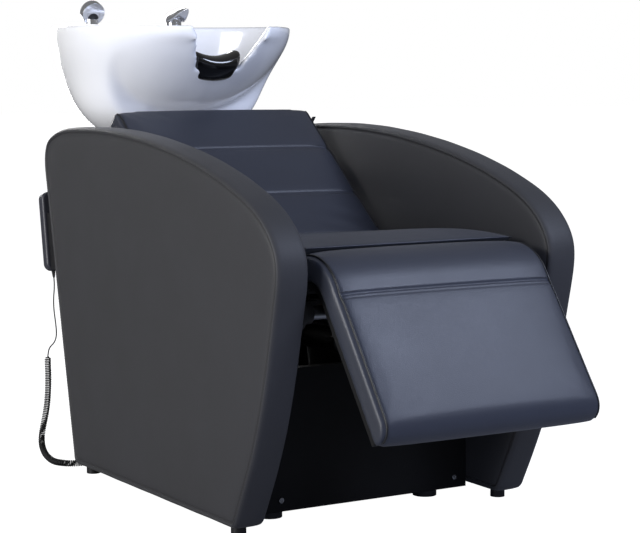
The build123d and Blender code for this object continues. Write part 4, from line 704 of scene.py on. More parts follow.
class Finish(Enum):
    """The finishes of this chair, each a surface of its own making."""

    PANEL_VINYL = UpholsteryVinyl(
        "charcoal_upholstery_vinyl", "#363639", "#323234", 0.55, 2.2, 0.25, 0.3)
    # Painted light: the same vinyl as the panels, its colour tinted blue for the cool light that
    # falls on the cushions
    CUSHION_VINYL = UpholsteryVinyl(
        "blue_lit_cushion_vinyl", "#2f333e", "#2b2e38", 0.42, 2.4, 0.25, 0.5)
    BOARD_VINYL = UpholsteryVinyl("black_backing_vinyl", "#0e0e10", "#09090a", 0.6, 2.2, 0.25, 0.25)
    PIPING = UpholsteryVinyl("piping_vinyl", "#14151a", "#0e0f13", 0.4, 1.6, 0.2, 0.5)
    THREAD = Thread("bonded_polyester_thread", "#15161a")
    # In a coated finish the second colour is its painted edge highlight
    POWDER_COAT = Coated("black_powder_coated_steel", "#060607", "#202024", 0.55)
    ZINC = Coated("zinc_plated_steel", "#a9adb3", "#c9ccd0", 0.34, 1.0, 0.8, 0.08)
    BRIGHT_ZINC = Coated("bright_zinc_steel", "#c4c7cc", "#dcdee2", 0.2, 1.0, 0.6, 0.04)
    CHROME = Coated("polished_chrome", "#dfe0e4", "#eaebee", 0.2, 1.0, 30.0, 0.03)
    BLACK_ABS = Coated("black_moulded_abs", "#101013", "#2a2a30", 0.44, 0.0, 0.5, 0.18)
    GREY_ABS = Coated("graphite_moulded_abs", "#33343c", "#4a4b55", 0.4, 0.0, 0.5, 0.14)
    KEY_PLASTIC = Coated("grey_key_plastic", "#7c7e86", "#9a9ca4", 0.45, 0.0, 0.5, 0.1)
    GEL = Coated("black_polyurethane_gel", "#0b0b0d", "#1a1a1d", 0.13, 0.0, 6.0, 0.06, 0.5)
    CORD_PVC = Coated("black_pvc_cord", "#08080a", "#151517", 0.62, 0.0, 0.8, 0.08, 0.0, 0.3)
    HOSE_PVC = Coated("grey_ribbed_pvc", "#8b8d91", "#a8aaae", 0.45, 0.0, 2.0, 0.08, 0.0, 0.5)
    DARK_NOZZLE = Coated("dark_nozzle_rubber", "#26272b", "#3a3b40", 0.4, 0.0, 0.8, 0.1, 0.0, 0.3)
    RED_MARK = Coated("red_enamel_mark", "#b5222b", "#c94a50", 0.25, 0.0, 2.0, 0.02, 0.0, 0.2)
    BLUE_MARK = Coated("blue_enamel_mark", "#2a4fa3", "#4d6fbd", 0.25, 0.0, 2.0, 0.02, 0.0, 0.2)
    GLAZE = Glaze("white_sanitary_glaze", "#fbfbfd")
    SOFTWOOD = Timber("sawn_softwood", "#d9bf8f", "#c2a06c", 7.0)
    PLY = Timber("birch_plywood", "#cdb084", "#b8966a", 3.0)
    BRAID = Braid("stainless_braid", "#c3c6ca", "#4e5156")
    LABEL = Thread("woven_black_label", "#17181b")

    def dressed(self) -> bpy.types.Material:
        """The finish's material, built the first time that it is asked for."""
        found = bpy.data.materials.get(self.value.name)
        return found or self.value.material()


SLOT_FINISH = {
    "vinyl_panel": Finish.PANEL_VINYL,
    "vinyl_cushion": Finish.CUSHION_VINYL,
    "vinyl_board": Finish.BOARD_VINYL,
    "stud_wood": Finish.SOFTWOOD,
    "ply": Finish.PLY,
    "black_paint": Finish.POWDER_COAT,
    "steel": Finish.ZINC,
    "bright_steel": Finish.BRIGHT_ZINC,
    "chrome": Finish.CHROME,
    "black_plastic": Finish.BLACK_ABS,
    "grey_plastic": Finish.GREY_ABS,
    "button_plastic": Finish.KEY_PLASTIC,
    "ceramic": Finish.GLAZE,
    "gel": Finish.GEL,
    "cord_rubber": Finish.CORD_PVC,
    "hose_grey": Finish.HOSE_PVC,
    "hose_braid": Finish.BRAID,
    "label": Finish.LABEL,
}


def dress(piece: Piece, body: str, finish: Finish, slot: str,
          stands_for: Sequence[str] = ()) -> Piece:
    """Give a piece its finish, its body and the nodes it stands for, and report it.

    Args:
        piece: The piece.
        body: The body that it rides on.
        finish: Its finish.
        slot: The record's material slot; not used.
        stands_for: CAD nodes that it replaces.

    Returns:
        The same piece.
    """
    piece.data.materials.clear()
    piece.data.materials.append(finish.dressed())
    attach(piece, body)
    if stands_for:
        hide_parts(*stands_for)
    LOG.info("piece %s on %s in %s", piece.name, body, finish.name.lower())
    return piece


def dress_nodes() -> None:
    """Give every CAD node the finish of its material slot, on the object and not on its mesh."""
    slots = {part["node"]: part["material_slot"] for part in frame["record"]["subparts"]}
    for name, node in frame["nodes"].items():
        material = SLOT_FINISH[slots[name]].dressed()
        if not node.material_slots:
            node.data.materials.append(material)
        for place in node.material_slots:
            place.link = "OBJECT"
            place.material = material
        LOG.info("node %s in %s", name, material.name)


# --------------------------------------------------------------- side panels


@dataclass
class SidePanel:
    """One upholstered side panel: a closed vinyl skin with a band between two sewn seams."""

    side: int
    name: str
    half_width: float = 345.0
    thickness: float = 69.0
    front_setback: float = 620.0
    length: float = 1023.0
    height: float = 739.5
    floor_gap: float = 20.5
    corner: float = 14.0
    rear_foot_share: float = 0.8671
    samples: int = 440
    seam_inset: float = 9.5
    middle: tuple[float, float] = (-70.0, 360.0)
    # Millimetres that the face sinks at its edge and in its padding or rises in its middle, each
    # with the distance that it takes
    edge_sink: tuple[float, float] = (5.4, 3.0)
    edge_share: float = 0.55
    pad_sink: tuple[float, float] = (2.4, 16.0)
    crown: tuple[float, float] = (1.2, 90.0)
    # Depth under the face and offset from the outline, of the stitches
    stitch: tuple[float, float] = (1.3, -5.2)
    outline_shares: Pairs = (
        (0.1613, 0.0), (0.0958, 0.1819), (0.0376, 0.4178), (0.0093, 0.5855), (0.0039, 0.7180),
        (0.0371, 0.7843), (0.1452, 0.8682), (0.3803, 0.9540), (0.6237, 0.9959), (0.8573, 1.0),
        (0.9267, 0.9905), (0.9687, 0.9730), (0.9912, 0.9540), (1.0, 0.9350), (0.9951, 0.8093),
    )
    # Depth under the face and offset from the outline, across the band from seam to middle
    band_profile: Pairs = (
        (5.4, -10.1), (3.6, -9.0), (1.9, -7.4), (1.2, -5.6), (1.7, -3.6), (3.6, -1.2), (7.0, 0.7),
        (12.0, 1.7), (20.0, 2.3), (34.5, 2.6),
    )

    def outline(self) -> Points:
        """The panel's closed outline in back and height, evenly spaced, its foot corners round.

        Returns:
            A curve through the outline's points, a line down the rear edge and a line along the
            foot, where each foot corner is the quadratic through its two tangent points.
        """
        shares = np.array(self.outline_shares)
        crest = shares * (self.length, self.height) + (-self.front_setback, self.floor_gap)
        foot = np.array([-self.front_setback + self.rear_foot_share * self.length, self.floor_gap])
        curve = clamped_spline(crest, crest[1] - crest[0], foot - crest[-1], 600)
        curve = curve[np.linalg.norm(curve - curve[0], axis=1) > self.corner]
        bend = np.linspace(0, 1, 9)[:, None]
        rear_in = foot + unit((crest[-1] - foot)[None])[0] * self.corner
        rear_out = foot - np.array([self.corner, 0.0])
        rear = rear_in * (1 - bend) ** 2 + foot * 2 * bend * (1 - bend) + rear_out * bend**2
        front_in = crest[0] + np.array([self.corner, 0.0])
        front = front_in * (1 - bend) ** 2 + crest[0] * 2 * bend * (1 - bend) + curve[:1] * bend**2
        return evenly(np.vstack([curve, rear, front[:-1]]), self.samples, closed=True)

    def outline_frame(self) -> tuple[Points, Points]:
        """The outline and its outward normals, the heading turned a quarter to the left."""
        line = self.outline()
        ahead = headings(line, closed=True)
        return line, np.stack([-ahead[:, 1], ahead[:, 0]], 1)

    def face_depth(self, inward: Points) -> Points:
        """How far the padded face lies under its middle, from the distance inside the seam."""
        edge = self.edge_sink[0] * np.exp(-inward / self.edge_sink[1]) * self.edge_share
        pad = self.pad_sink[0] * np.exp(-inward / self.pad_sink[1])
        crown = self.crown[0] * (1 - np.exp(-((inward / self.crown[1]) ** 2)))
        return edge + pad - crown

    def ring(self, flat: Points, depth: float | Points, outer: bool) -> Points:
        """A loop of back and height at a depth under the panel's outer or inner face."""
        inside = self.half_width - depth if outer else self.half_width - self.thickness + depth
        return at_side(self.side * inside, flat)

    def skin(self) -> Piece:
        """The closed skin: outer face, band and inner face as one grid round the outline.

        On a face a point is middle + share * (seam line - middle), and on the band it is the
        outline + offset * normal; the place across comes from the padded depth.

        Returns:
            The skin's object.
        """
        line, outward = self.outline_frame()
        middle = np.array(self.middle)
        spokes = line - outward * self.seam_inset - middle
        reach = np.linalg.norm(spokes, axis=1)
        shares = 1 - np.concatenate(
            [np.linspace(1, 0.16, 14), np.linspace(0.15, 0.03, 12), np.linspace(0.026, 0.0, 12)]
        )

        def face(outer: bool, order: Points) -> list[Points]:
            """Loops of one face, each at a share of the way from the middle to the seam."""
            depths = [self.face_depth(reach * (1 - share) * 0.85) for share in order]
            return [
                self.ring(middle + share * spokes, depth, outer)
                for share, depth in zip(order, depths)
            ]

        def band(outer: bool, order: Points) -> list[Points]:
            """Loops of one half of the band, each at its depth and offset."""
            return [self.ring(line + outward * offset, depth, outer) for depth, offset in order]

        fine = evenly(np.array(self.band_profile), 22)
        halves = band(True, fine[1:]) + band(False, fine[:-1][::-1])
        rows = np.stack(face(True, shares) + halves + face(False, shares[::-1]))
        rows[..., 1:] += self.puckers(rows)
        points = placed(rows.reshape(-1, 3))
        return new_piece(f"{self.name}_panel_skin", points, grid_faces(len(rows), len(line)))

    def puckers(self, rows: Points) -> Points:
        """Slight unevenness of the pulled vinyl: three sine waves of the place, under 0.4 mm."""
        x, y, z = rows[..., 0], rows[..., 1], rows[..., 2]
        wave = (
            0.16 * np.sin(y / 19.0 + z / 31.0 + 0.7)
            + 0.12 * np.sin(y / 41.0 - z / 23.0 + x / 17.0)
            + 0.1 * np.sin(z / 57.0 + x / 29.0)
        )
        return np.repeat(wave[..., None], 2, axis=-1)

    def seams(self) -> Piece:
        """Topstitching on the band, beside each of the two seams."""
        line, outward = self.outline_frame()
        depth, offset = self.stitch
        parts = []
        for outer, sign in ((True, self.side), (False, -self.side)):
            spots = placed(self.ring(line + outward * offset, depth, outer))
            normal = at_side(0.9 * sign, outward * 0.25)
            parts.append(stitch_row(spots, unit(normal), closed=True))
        return new_piece(f"{self.name}_panel_stitching", *merged(parts), outward=False)

    def build(self) -> None:
        """Make and dress the panel's pieces."""
        skin = dress(self.skin(), "chair", Finish.PANEL_VINYL, "vinyl_panel",
                     (f"{self.name}_panel_covers", f"{self.name}_edge_band"))
        dress(self.seams(), "chair", Finish.THREAD, "vinyl_panel")


# ------------------------------------------------------------------ cushions


@dataclass(frozen=True)
class Slope:
    """A slope that a cushion's section is laid out on, from its own origin.

    Along it the direction is way * (cos, sin) of its angle, and out of it (-sin, cos), both in
    back and height.
    """

    origin: tuple[float, float]
    angle: float
    way: int

    def axes(self) -> tuple[Points, Points]:
        """Unit directions along the slope and out of it."""
        turn = math.radians(self.angle)
        along = self.way * np.array([math.cos(turn), math.sin(turn)])
        return along, np.array([-math.sin(turn), math.cos(turn)])

    def section(self, rows: Points) -> Points:
        """Turn rows of along and out into back and height."""
        along, out = self.axes()
        return np.asarray(self.origin) + rows[..., :1] * along + rows[..., 1:] * out

    def local(self, points: Points) -> tuple[Points, Points]:
        """Place along the slope and out of it, in millimetres, for points in metres."""
        along, out = self.axes()
        flat = points[:, 1:] * 1000 - (DATUM_BACK + self.origin[0], self.origin[1])
        return flat @ along, flat @ out


# The backrest's board from its foot, and the leg rest's from its hinge
BACK_SLOPE = Slope((-32.3, 483.1), 39.5, 1)
LEG_SLOPE = Slope((-568.6, 440.3), 54.5, -1)

# Millimetres between a cushion and its board
BOARD_GAP = 0.3

# The cover as cloth that holds air, and how many frames it swells for
COVER_CLOTH = {
    "quality": 5,
    "mass": 0.3,
    "tension_stiffness": 15,
    "compression_stiffness": 15,
    "shear_stiffness": 5,
    "bending_stiffness": 0.5,
    "use_pressure": True,
    "uniform_pressure_force": 4.0,
    "vertex_group_mass": "grip",
}
SWELL_FRAMES = 20


def groove(distance: Points, depth: float, width: float) -> Points:
    """Depth of a channel: depth * exp(-(distance / width) squared)."""
    return depth * np.exp(-((distance / width) ** 2))


@dataclass
class Cushion:
    """A foam cushion in sewn vinyl, swollen by a cloth simulation and then seamed."""

    name: str
    node: str
    body: str
    side_drop: float
    slope: Slope = BACK_SLOPE
    shrink: float = 4.0
    cap: float = 8.0
    voxel: float = 0.006
    half_width: float = CUSHION_HALF_WIDTH
    stations: int = 45
    sewn_points: int = 240
    side_share: float = 0.78
    crown_share: float = 0.22
    # Depth and width of the side seams, and shift, depth and width of a channel's grooves
    side_groove: tuple[float, float] = (2.6, 4.5)
    channel: Triples = ()
    stitches: tuple[float, ...] = ()

    def section(self, drop: float) -> Points:
        """Closed section in back and height, for a drop of the top towards the side."""
        raise NotImplementedError

    def grip(self, points: Points, normals: Points) -> Points:
        """How firmly each point is held, from 0, free, to 1, lying on its board."""
        raise NotImplementedError

    def carve(self, points: Points, normals: Points) -> Points:
        """How deep each point lies in a seam or channel, in millimetres."""
        raise NotImplementedError

    def fall(self, share: Points) -> Points:
        """Drop of the top at a share of the half width: a slight crown and a rounded side."""
        edge = 1 - np.sqrt(np.maximum(0.0, 1 - np.abs(share) ** 8))
        return self.side_drop * (edge * self.side_share + share**2 * self.crown_share)

    def blank(self) -> Piece:
        """The unswollen cushion: its sections lofted across, closed by a face at each side."""
        shares = np.sin(np.linspace(-1, 1, self.stations) * math.pi / 2)
        rows = np.stack([self.section(float(self.fall(share))) for share in shares])
        across = np.broadcast_to((shares * self.half_width)[:, None, None], rows.shape[:2] + (1,))
        piece = new_piece(self.name, *loft(np.concatenate([across, rows], -1)))
        return apply_all(add_modifier(piece, "REMESH", mode="VOXEL", voxel_size=self.voxel))

    def swell(self, piece: Piece) -> None:
        """Let the cover swell under pressure, with the board's side held and the movement capped.

        The cover ends at 0.7 of an even swelling by a millimetre and 0.3 of the simulated one.

        Args:
            piece: The remeshed blank, changed in place.
        """
        mesh = piece.data
        rest, normals = coordinates(mesh), coordinates(mesh, "normal")
        hold = np.clip(self.grip(rest, normals), 0.0, 1.0)
        free = (1 - hold)[:, None]
        start = rest - normals * (self.shrink * 0.001 * free)
        even = normals * ((self.shrink + 1.0) * 0.001 * free)
        move_to(mesh, start)
        group = piece.vertex_groups.new(name="grip")
        for level in range(1, 11):
            members = np.nonzero(np.round(hold * 10).astype(int) == level)[0].tolist()
            if members:
                group.add(members, level / 10, "REPLACE")
        cloth = piece.modifiers.new("cover", "CLOTH")
        for name, value in COVER_CLOTH.items():
            setattr(cloth.settings, name, value)
        cloth.settings.effector_weights.gravity = 0.0
        cloth.point_cache.frame_start = 1
        cloth.point_cache.frame_end = SWELL_FRAMES
        scene = bpy.context.scene
        for step in range(1, SWELL_FRAMES + 1):
            scene.frame_set(step)
        graph = bpy.context.evaluated_depsgraph_get()
        swollen = coordinates(piece.evaluated_get(graph).to_mesh())
        piece.evaluated_get(graph).to_mesh_clear()
        piece.modifiers.clear()
        piece.vertex_groups.clear()
        scene.frame_set(1)
        shift = swollen - start
        size = np.linalg.norm(shift, axis=1, keepdims=True)
        shift *= np.minimum(1.0, self.cap * 0.001 * free / np.maximum(size, 1e-9))
        move_to(mesh, start + even * 0.7 + shift * 0.3)

    def finish_skin(self, piece: Piece) -> None:
        """Subdivide the swollen cover, even it out and sink the seams and channels into it."""
        add_modifier(piece, "SMOOTH", factor=0.5, iterations=4)
        mesh = apply_all(add_modifier(piece, "SUBSURF", levels=1, render_levels=1)).data
        points, normals = coordinates(mesh), coordinates(mesh, "normal")
        depth = self.carve(points, normals) * 0.001
        move_to(mesh, points - normals * depth[:, None])
        mesh.polygons.foreach_set("use_smooth", np.ones(len(mesh.polygons), bool))

    def side_seam(self, x: Points) -> Points:
        """Depth of the seams along both sides, at places across the chair."""
        return groove(np.abs(x) - (self.half_width - SEAM_INSET), *self.side_groove)

    def channel_depth(self, past: Points) -> Points:
        """Depth of a channel at distances past its seam: the sum of its grooves."""
        return sum(groove(past + shift, depth, width) for shift, depth, width in self.channel)

    def trim(self, piece: Piece) -> None:
        """Add piping and stitches to the finished cover."""
        raise NotImplementedError

    def build(self) -> Piece:
        """Make, swell, seam and dress the cushion."""
        piece = self.blank()
        self.swell(piece)
        self.finish_skin(piece)
        dress(piece, self.body, Finish.CUSHION_VINYL, "vinyl_cushion", (self.node,))
        self.trim(piece)
        return piece

    def sew_across(self, piece: Piece, places: Sequence[float], out: float) -> None:
        """Sew rows of stitches across the cover.

        Args:
            piece: The finished cover.
            places: Millimetres along the slope, one for each row.
            out: Millimetres out of the slope, close to the cover.
        """
        reach = self.half_width - SEAM_INSET - 3
        x = np.linspace(-reach, reach, self.sewn_points)
        parts = []
        for along in places:
            rows = self.slope.section(np.tile([[along, out]], (len(x), 1)))
            parts.append(stitch_row(*drape(placed(at_side(x, rows)), piece)))
        row = new_piece(f"{self.name}_stitching", *merged(parts), outward=False)
        dress(row, self.body, Finish.THREAD, "vinyl_cushion")

    def pipe_sides(self, piece: Piece, rows: Points, count: int = 0) -> None:
        """Lay a piping tube of 4.4 mm, half sunk in the cover, along both sides.

        Args:
            piece: The finished cover.
            rows: Back and height along the piping.
            count: How many points it is evened out to, or 0 to leave it as it is.
        """
        parts = []
        for side in (-1, 1):
            line = placed(at_side(side * (self.half_width - SEAM_INSET), rows))
            lying, outward = drape(evenly(line, count) if count else line, piece)
            soft = averaged(lying, 7) + outward * 0.0007
            parts.append(tube(soft, PIPING_RADIUS, 10, (1.0, 0.0, 0.0)))
        row = new_piece(f"{self.name}_piping", *merged(parts))
        dress(row, self.body, Finish.PIPING, "vinyl_cushion")


@dataclass
class SeatCushion(Cushion):
    """The seat, tilted back, with a hollow lip over the leg rest's roll."""

    lip_radius: float = 117.0
    back_face: tuple[float, float] = (-80.01, 540.97)
    board_front: float = -452.0
    board_top: float = 496.0
    tilt: float = 4.5

    def board(self, back: float) -> float:
        """Height of the seat board's top at a place along the chair."""
        return self.board_top - (back - self.board_front) * math.tan(math.radians(self.tilt))

    def section(self, drop: float) -> Points:
        """Section from the lip's hollow over the crest to the backrest and along the board."""
        turn, hinge = math.radians(BACK_SLOPE.angle), LEG_SLOPE.origin

        def rear_edge(height: float) -> tuple[float, float]:
            """Place beside the backrest's face at a height."""
            cot = math.cos(turn) / math.sin(turn)
            return self.back_face[0] + (height - self.back_face[1]) * cot - 0.5, height

        rise = self.board(hinge[0]) + BOARD_GAP - hinge[1]
        root = math.degrees(math.asin(rise * math.cos(math.radians(self.tilt)) / self.lip_radius))
        lip = arc(hinge, self.lip_radius, root - self.tilt, 81.7, 10)
        top = (lip[-1][0], lip[-1][1] + 3.5 - drop * 0.2)
        rear = rear_edge(540.0 - drop)
        crest = through([top, (-497.0, 568.0 - drop), (-300.0, 559.0 - drop), rear], 40)
        low = rear_edge(self.board(-118.0))[0]
        root_rear = (low, self.board(low) + BOARD_GAP)
        under = np.linspace(root_rear, lip[0], 24)
        return np.vstack([lip, crest, np.linspace(rear, root_rear, 6)[1:-1], under[:-1]])

    def grip(self, points: Points, normals: Points) -> Points:
        """Held under the seat, against the backrest and inside the lip's hollow."""
        under = smoothstep(0.2, 0.6, -normals[:, 2])
        rear = smoothstep(0.3, 0.7, normals[:, 1])
        return np.maximum(under, rear)

    def carve(self, points: Points, normals: Points) -> Points:
        """Side seams, and a slight dish where the sitter's weight has set the foam."""
        x, y = points[:, 0] * 1000, points[:, 1] * 1000 - DATUM_BACK
        upper = smoothstep(0.2, 0.7, normals[:, 2])
        seam = self.side_seam(x) * upper
        dish = 2.0 * np.exp(-((x / 150) ** 2) - ((y + 270) / 110) ** 2) * upper
        return seam + dish

    def trim(self, piece: Piece) -> None:
        """Piping along both sides of the top."""
        rows = through([(-560.0, 560.0), (-497.0, 565.0), (-300.0, 556.0), (-95.0, 537.0)], 90)
        self.pipe_sides(piece, rows)


@dataclass
class BackCushion(Cushion):
    """The reclined backrest: three flat bays between two double-stitched channels."""

    length: float = 412.0
    tuck: float = 40.0
    thickness: float = 75.0
    corner: float = 12.0
    seams: tuple[float, float] = (137.0, 285.0)
    channel: Triples = ((0.0, 2.3, 3.4), (8.0, 1.0, 2.4), (0.0, 1.4, 16.0))
    stitches: tuple[float, ...] = (3.6, -8.0)

    def section(self, drop: float) -> Points:
        """Section: board side, rounded head, face and rounded foot."""
        face, top = self.thickness - drop, self.length + 3.0
        head = arc((top - self.corner, face - self.corner), self.corner, 0, 90, 7)
        foot = arc((-self.tuck + self.corner, face - 2 - self.corner), self.corner, 90, 180, 7)
        front = np.linspace(head[-1], foot[0], 40)[1:-1]
        board = np.linspace((-self.tuck, BOARD_GAP), (top, BOARD_GAP), 40)
        return self.slope.section(np.vstack([board, head, front, foot]))

    def facing(self, normals: Points) -> Points:
        """How far each normal points out of the face."""
        return normals[:, 1:] @ self.slope.axes()[1]

    def grip(self, points: Points, normals: Points) -> Points:
        """Held on the board and at the foot, behind the seat."""
        along, _ = self.slope.local(points)
        board = smoothstep(0.2, 0.6, -self.facing(normals))
        return np.maximum(board, smoothstep(0.0, -30.0, along))

    def carve(self, points: Points, normals: Points) -> Points:
        """Two double channels, the side seams and faint creases near the foot."""
        along, _ = self.slope.local(points)
        x = points[:, 0] * 1000
        depth = self.side_seam(x)
        for seam in self.seams:
            depth += self.channel_depth(along - (self.length - seam))
        patch = np.exp(-(((x - 170) / 60) ** 2) - ((along - 30) / 60) ** 2)
        creases = 0.7 * np.sin(along / 9.0 + x / 21.0) * patch
        return (depth + creases) * smoothstep(0.2, 0.7, self.facing(normals))

    def trim(self, piece: Piece) -> None:
        """Stitches beside both channels and piping along both sides."""
        places = [self.length - seam + offset for seam in self.seams for offset in self.stitches]
        self.sew_across(piece, places, self.thickness)
        head = arc((self.length - 9, self.thickness - 18), 12, 90, 0, 14)
        face = np.linspace((10.0, self.thickness - 5), head[0], 80)[:-1]
        end = np.linspace(head[-1], (self.length + 3, 12.0), 12)[1:]
        self.pipe_sides(piece, self.slope.section(np.vstack([face, head, end])), 130)


@dataclass
class LegCushion(Cushion):
    """The leg rest: a roll round its hinge that runs into a sloping slab with a rounded end."""

    radius: float = 115.0
    thickness: float = 57.0
    length: float = 313.0
    end_round: float = 40.0
    roll_back: float = 192.7
    seam: float = 23.0
    channel: Triples = ((0.0, 3.0, 3.0), (-8.0, 1.0, 2.4), (0.0, 1.6, 18.0))
    stitches: tuple[float, ...] = (-3.4, 8.0)

    def outer_line(self, drop: float, count: int = 60) -> Points:
        """The section's outer side: round the roll, down the slab and round the end."""
        outer = self.radius - drop
        end = self.length - drop / 2
        corner = self.end_round - drop
        roll = arc((0, 0), outer, self.roll_back, 90, count // 2)
        tail = arc((end - corner, outer - corner), corner, 90, 0, count // 5)
        slab = np.linspace(roll[-1], tail[0], count // 2)[1:-1]
        return np.vstack([roll, slab, tail])

    def section(self, drop: float) -> Points:
        """Section: outer side, the small inner round of the end, and the board's side."""
        inner = self.radius - self.thickness + BOARD_GAP
        end = self.length - drop / 2
        tail = arc((end - 10, inner + 10), 10, 0, -90, 5)
        under = np.linspace((end - 10, inner), (0, inner), 30)[1:]
        back = arc((0, 0), inner, 90, self.roll_back, 22)[1:]
        return self.slope.section(np.vstack([self.outer_line(drop), tail, under, back]))

    def facing(self, points: Points, normals: Points) -> Points:
        """How far each normal points away from the board, round the roll too."""
        along, out = self.slope.local(points)
        down, outward = self.slope.axes()
        radial = unit(np.column_stack([np.minimum(along, 0.0), np.maximum(out, 1.0)]))
        flat = normals[:, 1:]
        return radial[:, 0] * (flat @ down) + radial[:, 1] * (flat @ outward)

    def grip(self, points: Points, normals: Points) -> Points:
        """Held on the board and, more loosely, on the roll, which turns close under the seat."""
        along, _ = self.slope.local(points)
        board = smoothstep(0.1, 0.5, -self.facing(points, normals))
        return np.maximum(board, smoothstep(30.0, -30.0, along) * 0.75)

    def carve(self, points: Points, normals: Points) -> Points:
        """The double seam under the roll, and the side seams."""
        along, _ = self.slope.local(points)
        x = points[:, 0] * 1000
        face = smoothstep(0.1, 0.6, self.facing(points, normals))
        down = smoothstep(0.2, 0.8, normals[:, 1:] @ self.slope.axes()[0])
        sides = self.side_seam(x) * np.maximum(face, down * smoothstep(240.0, 280.0, along))
        edge, channel = self.half_width - SEAM_INSET, self.channel_depth(along - self.seam)
        return sides + channel * face * smoothstep(edge, edge - 6, np.abs(x))

    def trim(self, piece: Piece) -> None:
        """Two rows of stitches at the seam under the roll, and piping round both sides."""
        self.sew_across(piece, [self.seam + offset for offset in self.stitches], self.radius)
        self.pipe_sides(piece, self.slope.section(self.outer_line(3.5, 120)), 220)


# --------------------------------------------------------------------- cords


def route_line(name: str, route: Points, samples: int = 12) -> Points:
    """Points of the smooth NURBS curve whose control points are the route's.

    Args:
        name: A name for the curve.
        route: Control points in metres.
        samples: Points in each span.

    Returns:
        The curve's points, read from a curve with no bevel.
    """
    curve = nurbs(name, route, 0.0)
    curve.data.resolution_u = samples
    graph = bpy.context.evaluated_depsgraph_get()
    mesh = bpy.data.meshes.new_from_object(curve.evaluated_get(graph))
    line = coordinates(mesh)
    bpy.data.meshes.remove(mesh)
    bpy.data.objects.remove(curve)
    return line


def nurbs(name: str, route: Points, radius: float) -> Piece:
    """A NURBS cord of one open spline, clamped at its ends.

    Args:
        name: The curve's name.
        route: Control points in metres.
        radius: The cord's radius in metres.

    Returns:
        The linked curve object.
    """
    data = bpy.data.curves.new(name, "CURVE")
    data.dimensions = "3D"
    data.bevel_depth = radius
    data.bevel_resolution = 3
    data.resolution_u = 4
    data.use_fill_caps = radius > 0
    spline = data.splines.new("NURBS")
    spline.points.add(len(route) - 1)
    rows = np.column_stack([route, np.ones(len(route))])
    spline.points.foreach_set("co", rows.ravel())
    spline.order_u = 3
    spline.use_endpoint_u = True
    curve = bpy.data.objects.new(name, data)
    bpy.context.scene.collection.objects.link(curve)
    return curve


@dataclass
class HandsetCord:
    """The handset's cord: a straight lead, ninety curls and a tail into the rear cover."""

    radius: float = 1.5
    curl_radius: float = 6.0
    pitch: float = 4.05
    ramp_turns: float = 1.5
    end_run: float = 3.5
    turn_points: int = 12
    length: float = 3.66
    lead: Triples = (
        (-316.0, 427.0, 417.23), (-316.0, 423.87, 397.48), (-317.3, 428.3, 370.0),
        (-316.6, 428.6, 342.0), (-313.4, 426.4, 312.0), (-312.2, 424.4, 285.0),
        (-316.6, 427.4, 267.5), (-327.4, 434.6, 256.0), (-329.0, 437.2, 240.3),
    )
    curls: Triples = (
        (-329.0, 437.2, 240.0), (-329.6, 438.4, 226.0), (-328.6, 438.0, 198.0),
        (-329.0, 438.6, 164.0), (-331.0, 440.0, 130.0), (-335.0, 442.0, 101.0),
        (-340.5, 443.0, 76.0), (-346.0, 440.0, 55.0), (-351.0, 430.0, 37.0),
        (-354.0, 412.0, 23.0), (-355.0, 388.0, 13.5), (-352.0, 362.0, 7.9),
        (-344.0, 338.0, 7.9), (-328.0, 321.0, 7.9), (-305.0, 314.0, 7.9), (-288.0, 312.0, 7.9),
    )
    tail: Triples = (
        (-287.7, 312.0, 7.9), (-276.0, 310.6, 7.2), (-257.0, 309.2, 5.2), (-238.0, 309.0, 9.0),
        (-221.0, 308.0, 21.0), (-211.0, 303.0, 36.0), (-208.0, 293.4, 47.3), (-208.0, 279.7, 50.3),
    )

    def helix(self) -> Points:
        """The curls: the route's curve with a turning offset across it.

        A point lies at curve(distance) + r * (cos * side + sin * cross) for the angle 2 pi turn,
        where r ramps up and down over the first and last turns. The control points lie out by
        1 / cos(half a step), because the curve runs inside them.

        Returns:
            The helix's control points in metres.
        """
        line = route_line("curl_route", placed(self.curls), 40)
        steps = np.linalg.norm(np.diff(line, axis=0), axis=1)
        total = steps.sum() * 1000
        wound = total - 2 * self.end_run
        turns = math.floor(wound / self.pitch)
        turn = np.arange(0, turns * self.turn_points + 1) / self.turn_points
        along = np.concatenate([[0.0], np.cumsum(steps)]) * 1000
        at = self.end_run + turn * wound / turns
        side, cross = frames_along(line, (-1.0, 0.9, 0.6))
        rows = np.hstack([line, side, cross])
        here = np.stack([np.interp(at, along, rows[:, i]) for i in range(9)], 1)
        ramp = np.clip(np.minimum(turn, turns - turn) / self.ramp_turns, 0.0, 1.0)
        outset = 1 / (0.25 * math.cos(2 * math.pi / self.turn_points) + 0.75)
        reach = self.curl_radius * 0.001 * outset * ramp * ramp * (3 - 2 * ramp)
        angle = 2 * np.pi * turn
        return (
            here[:, :3]
            + (reach * np.cos(angle))[:, None] * unit(here[:, 3:6])
            + (reach * np.sin(angle))[:, None] * unit(here[:, 6:9])
        )

    def build(self) -> Piece:
        route = np.vstack([placed(self.lead[:-1]), self.helix(), placed(self.tail[1:])])
        cord = nurbs("handset_cord", route, self.radius * 0.001)
        dress(cord, "chair", Finish.CORD_PVC, "cord_rubber",
              ("handset_lead", "curly_cord", "tail_lead"))
        return cord


# --------------------------------------------------------------------- basin


def closed_spline(points: Points, count: int) -> Points:
    """Smooth loop through points.

    Between two points the curve is the Catmull-Rom cubic of those two and their outer neighbours:
    half of 2p1 + (p2 - p0)t + (2p0 - 5p1 + 4p2 - p3)t2 + (3p1 - p0 - 3p2 + p3)t3.

    Args:
        points: Rows of the loop, whose first isn't repeated.
        count: Points between two rows.

    Returns:
        The loop's points.
    """
    p0, p1, p2, p3 = (np.roll(points, shift, 0)[:, None] for shift in (1, 0, -1, -2))
    t = np.linspace(0, 1, count, endpoint=False)[None, :, None]
    cubic = 2 * p1 + (p2 - p0) * t + (2 * p0 - 5 * p1 + 4 * p2 - p3) * t**2
    cubic = cubic + (3 * p1 - p0 - 3 * p2 + p3) * t**3
    return (cubic / 2).reshape(-1, points.shape[1])


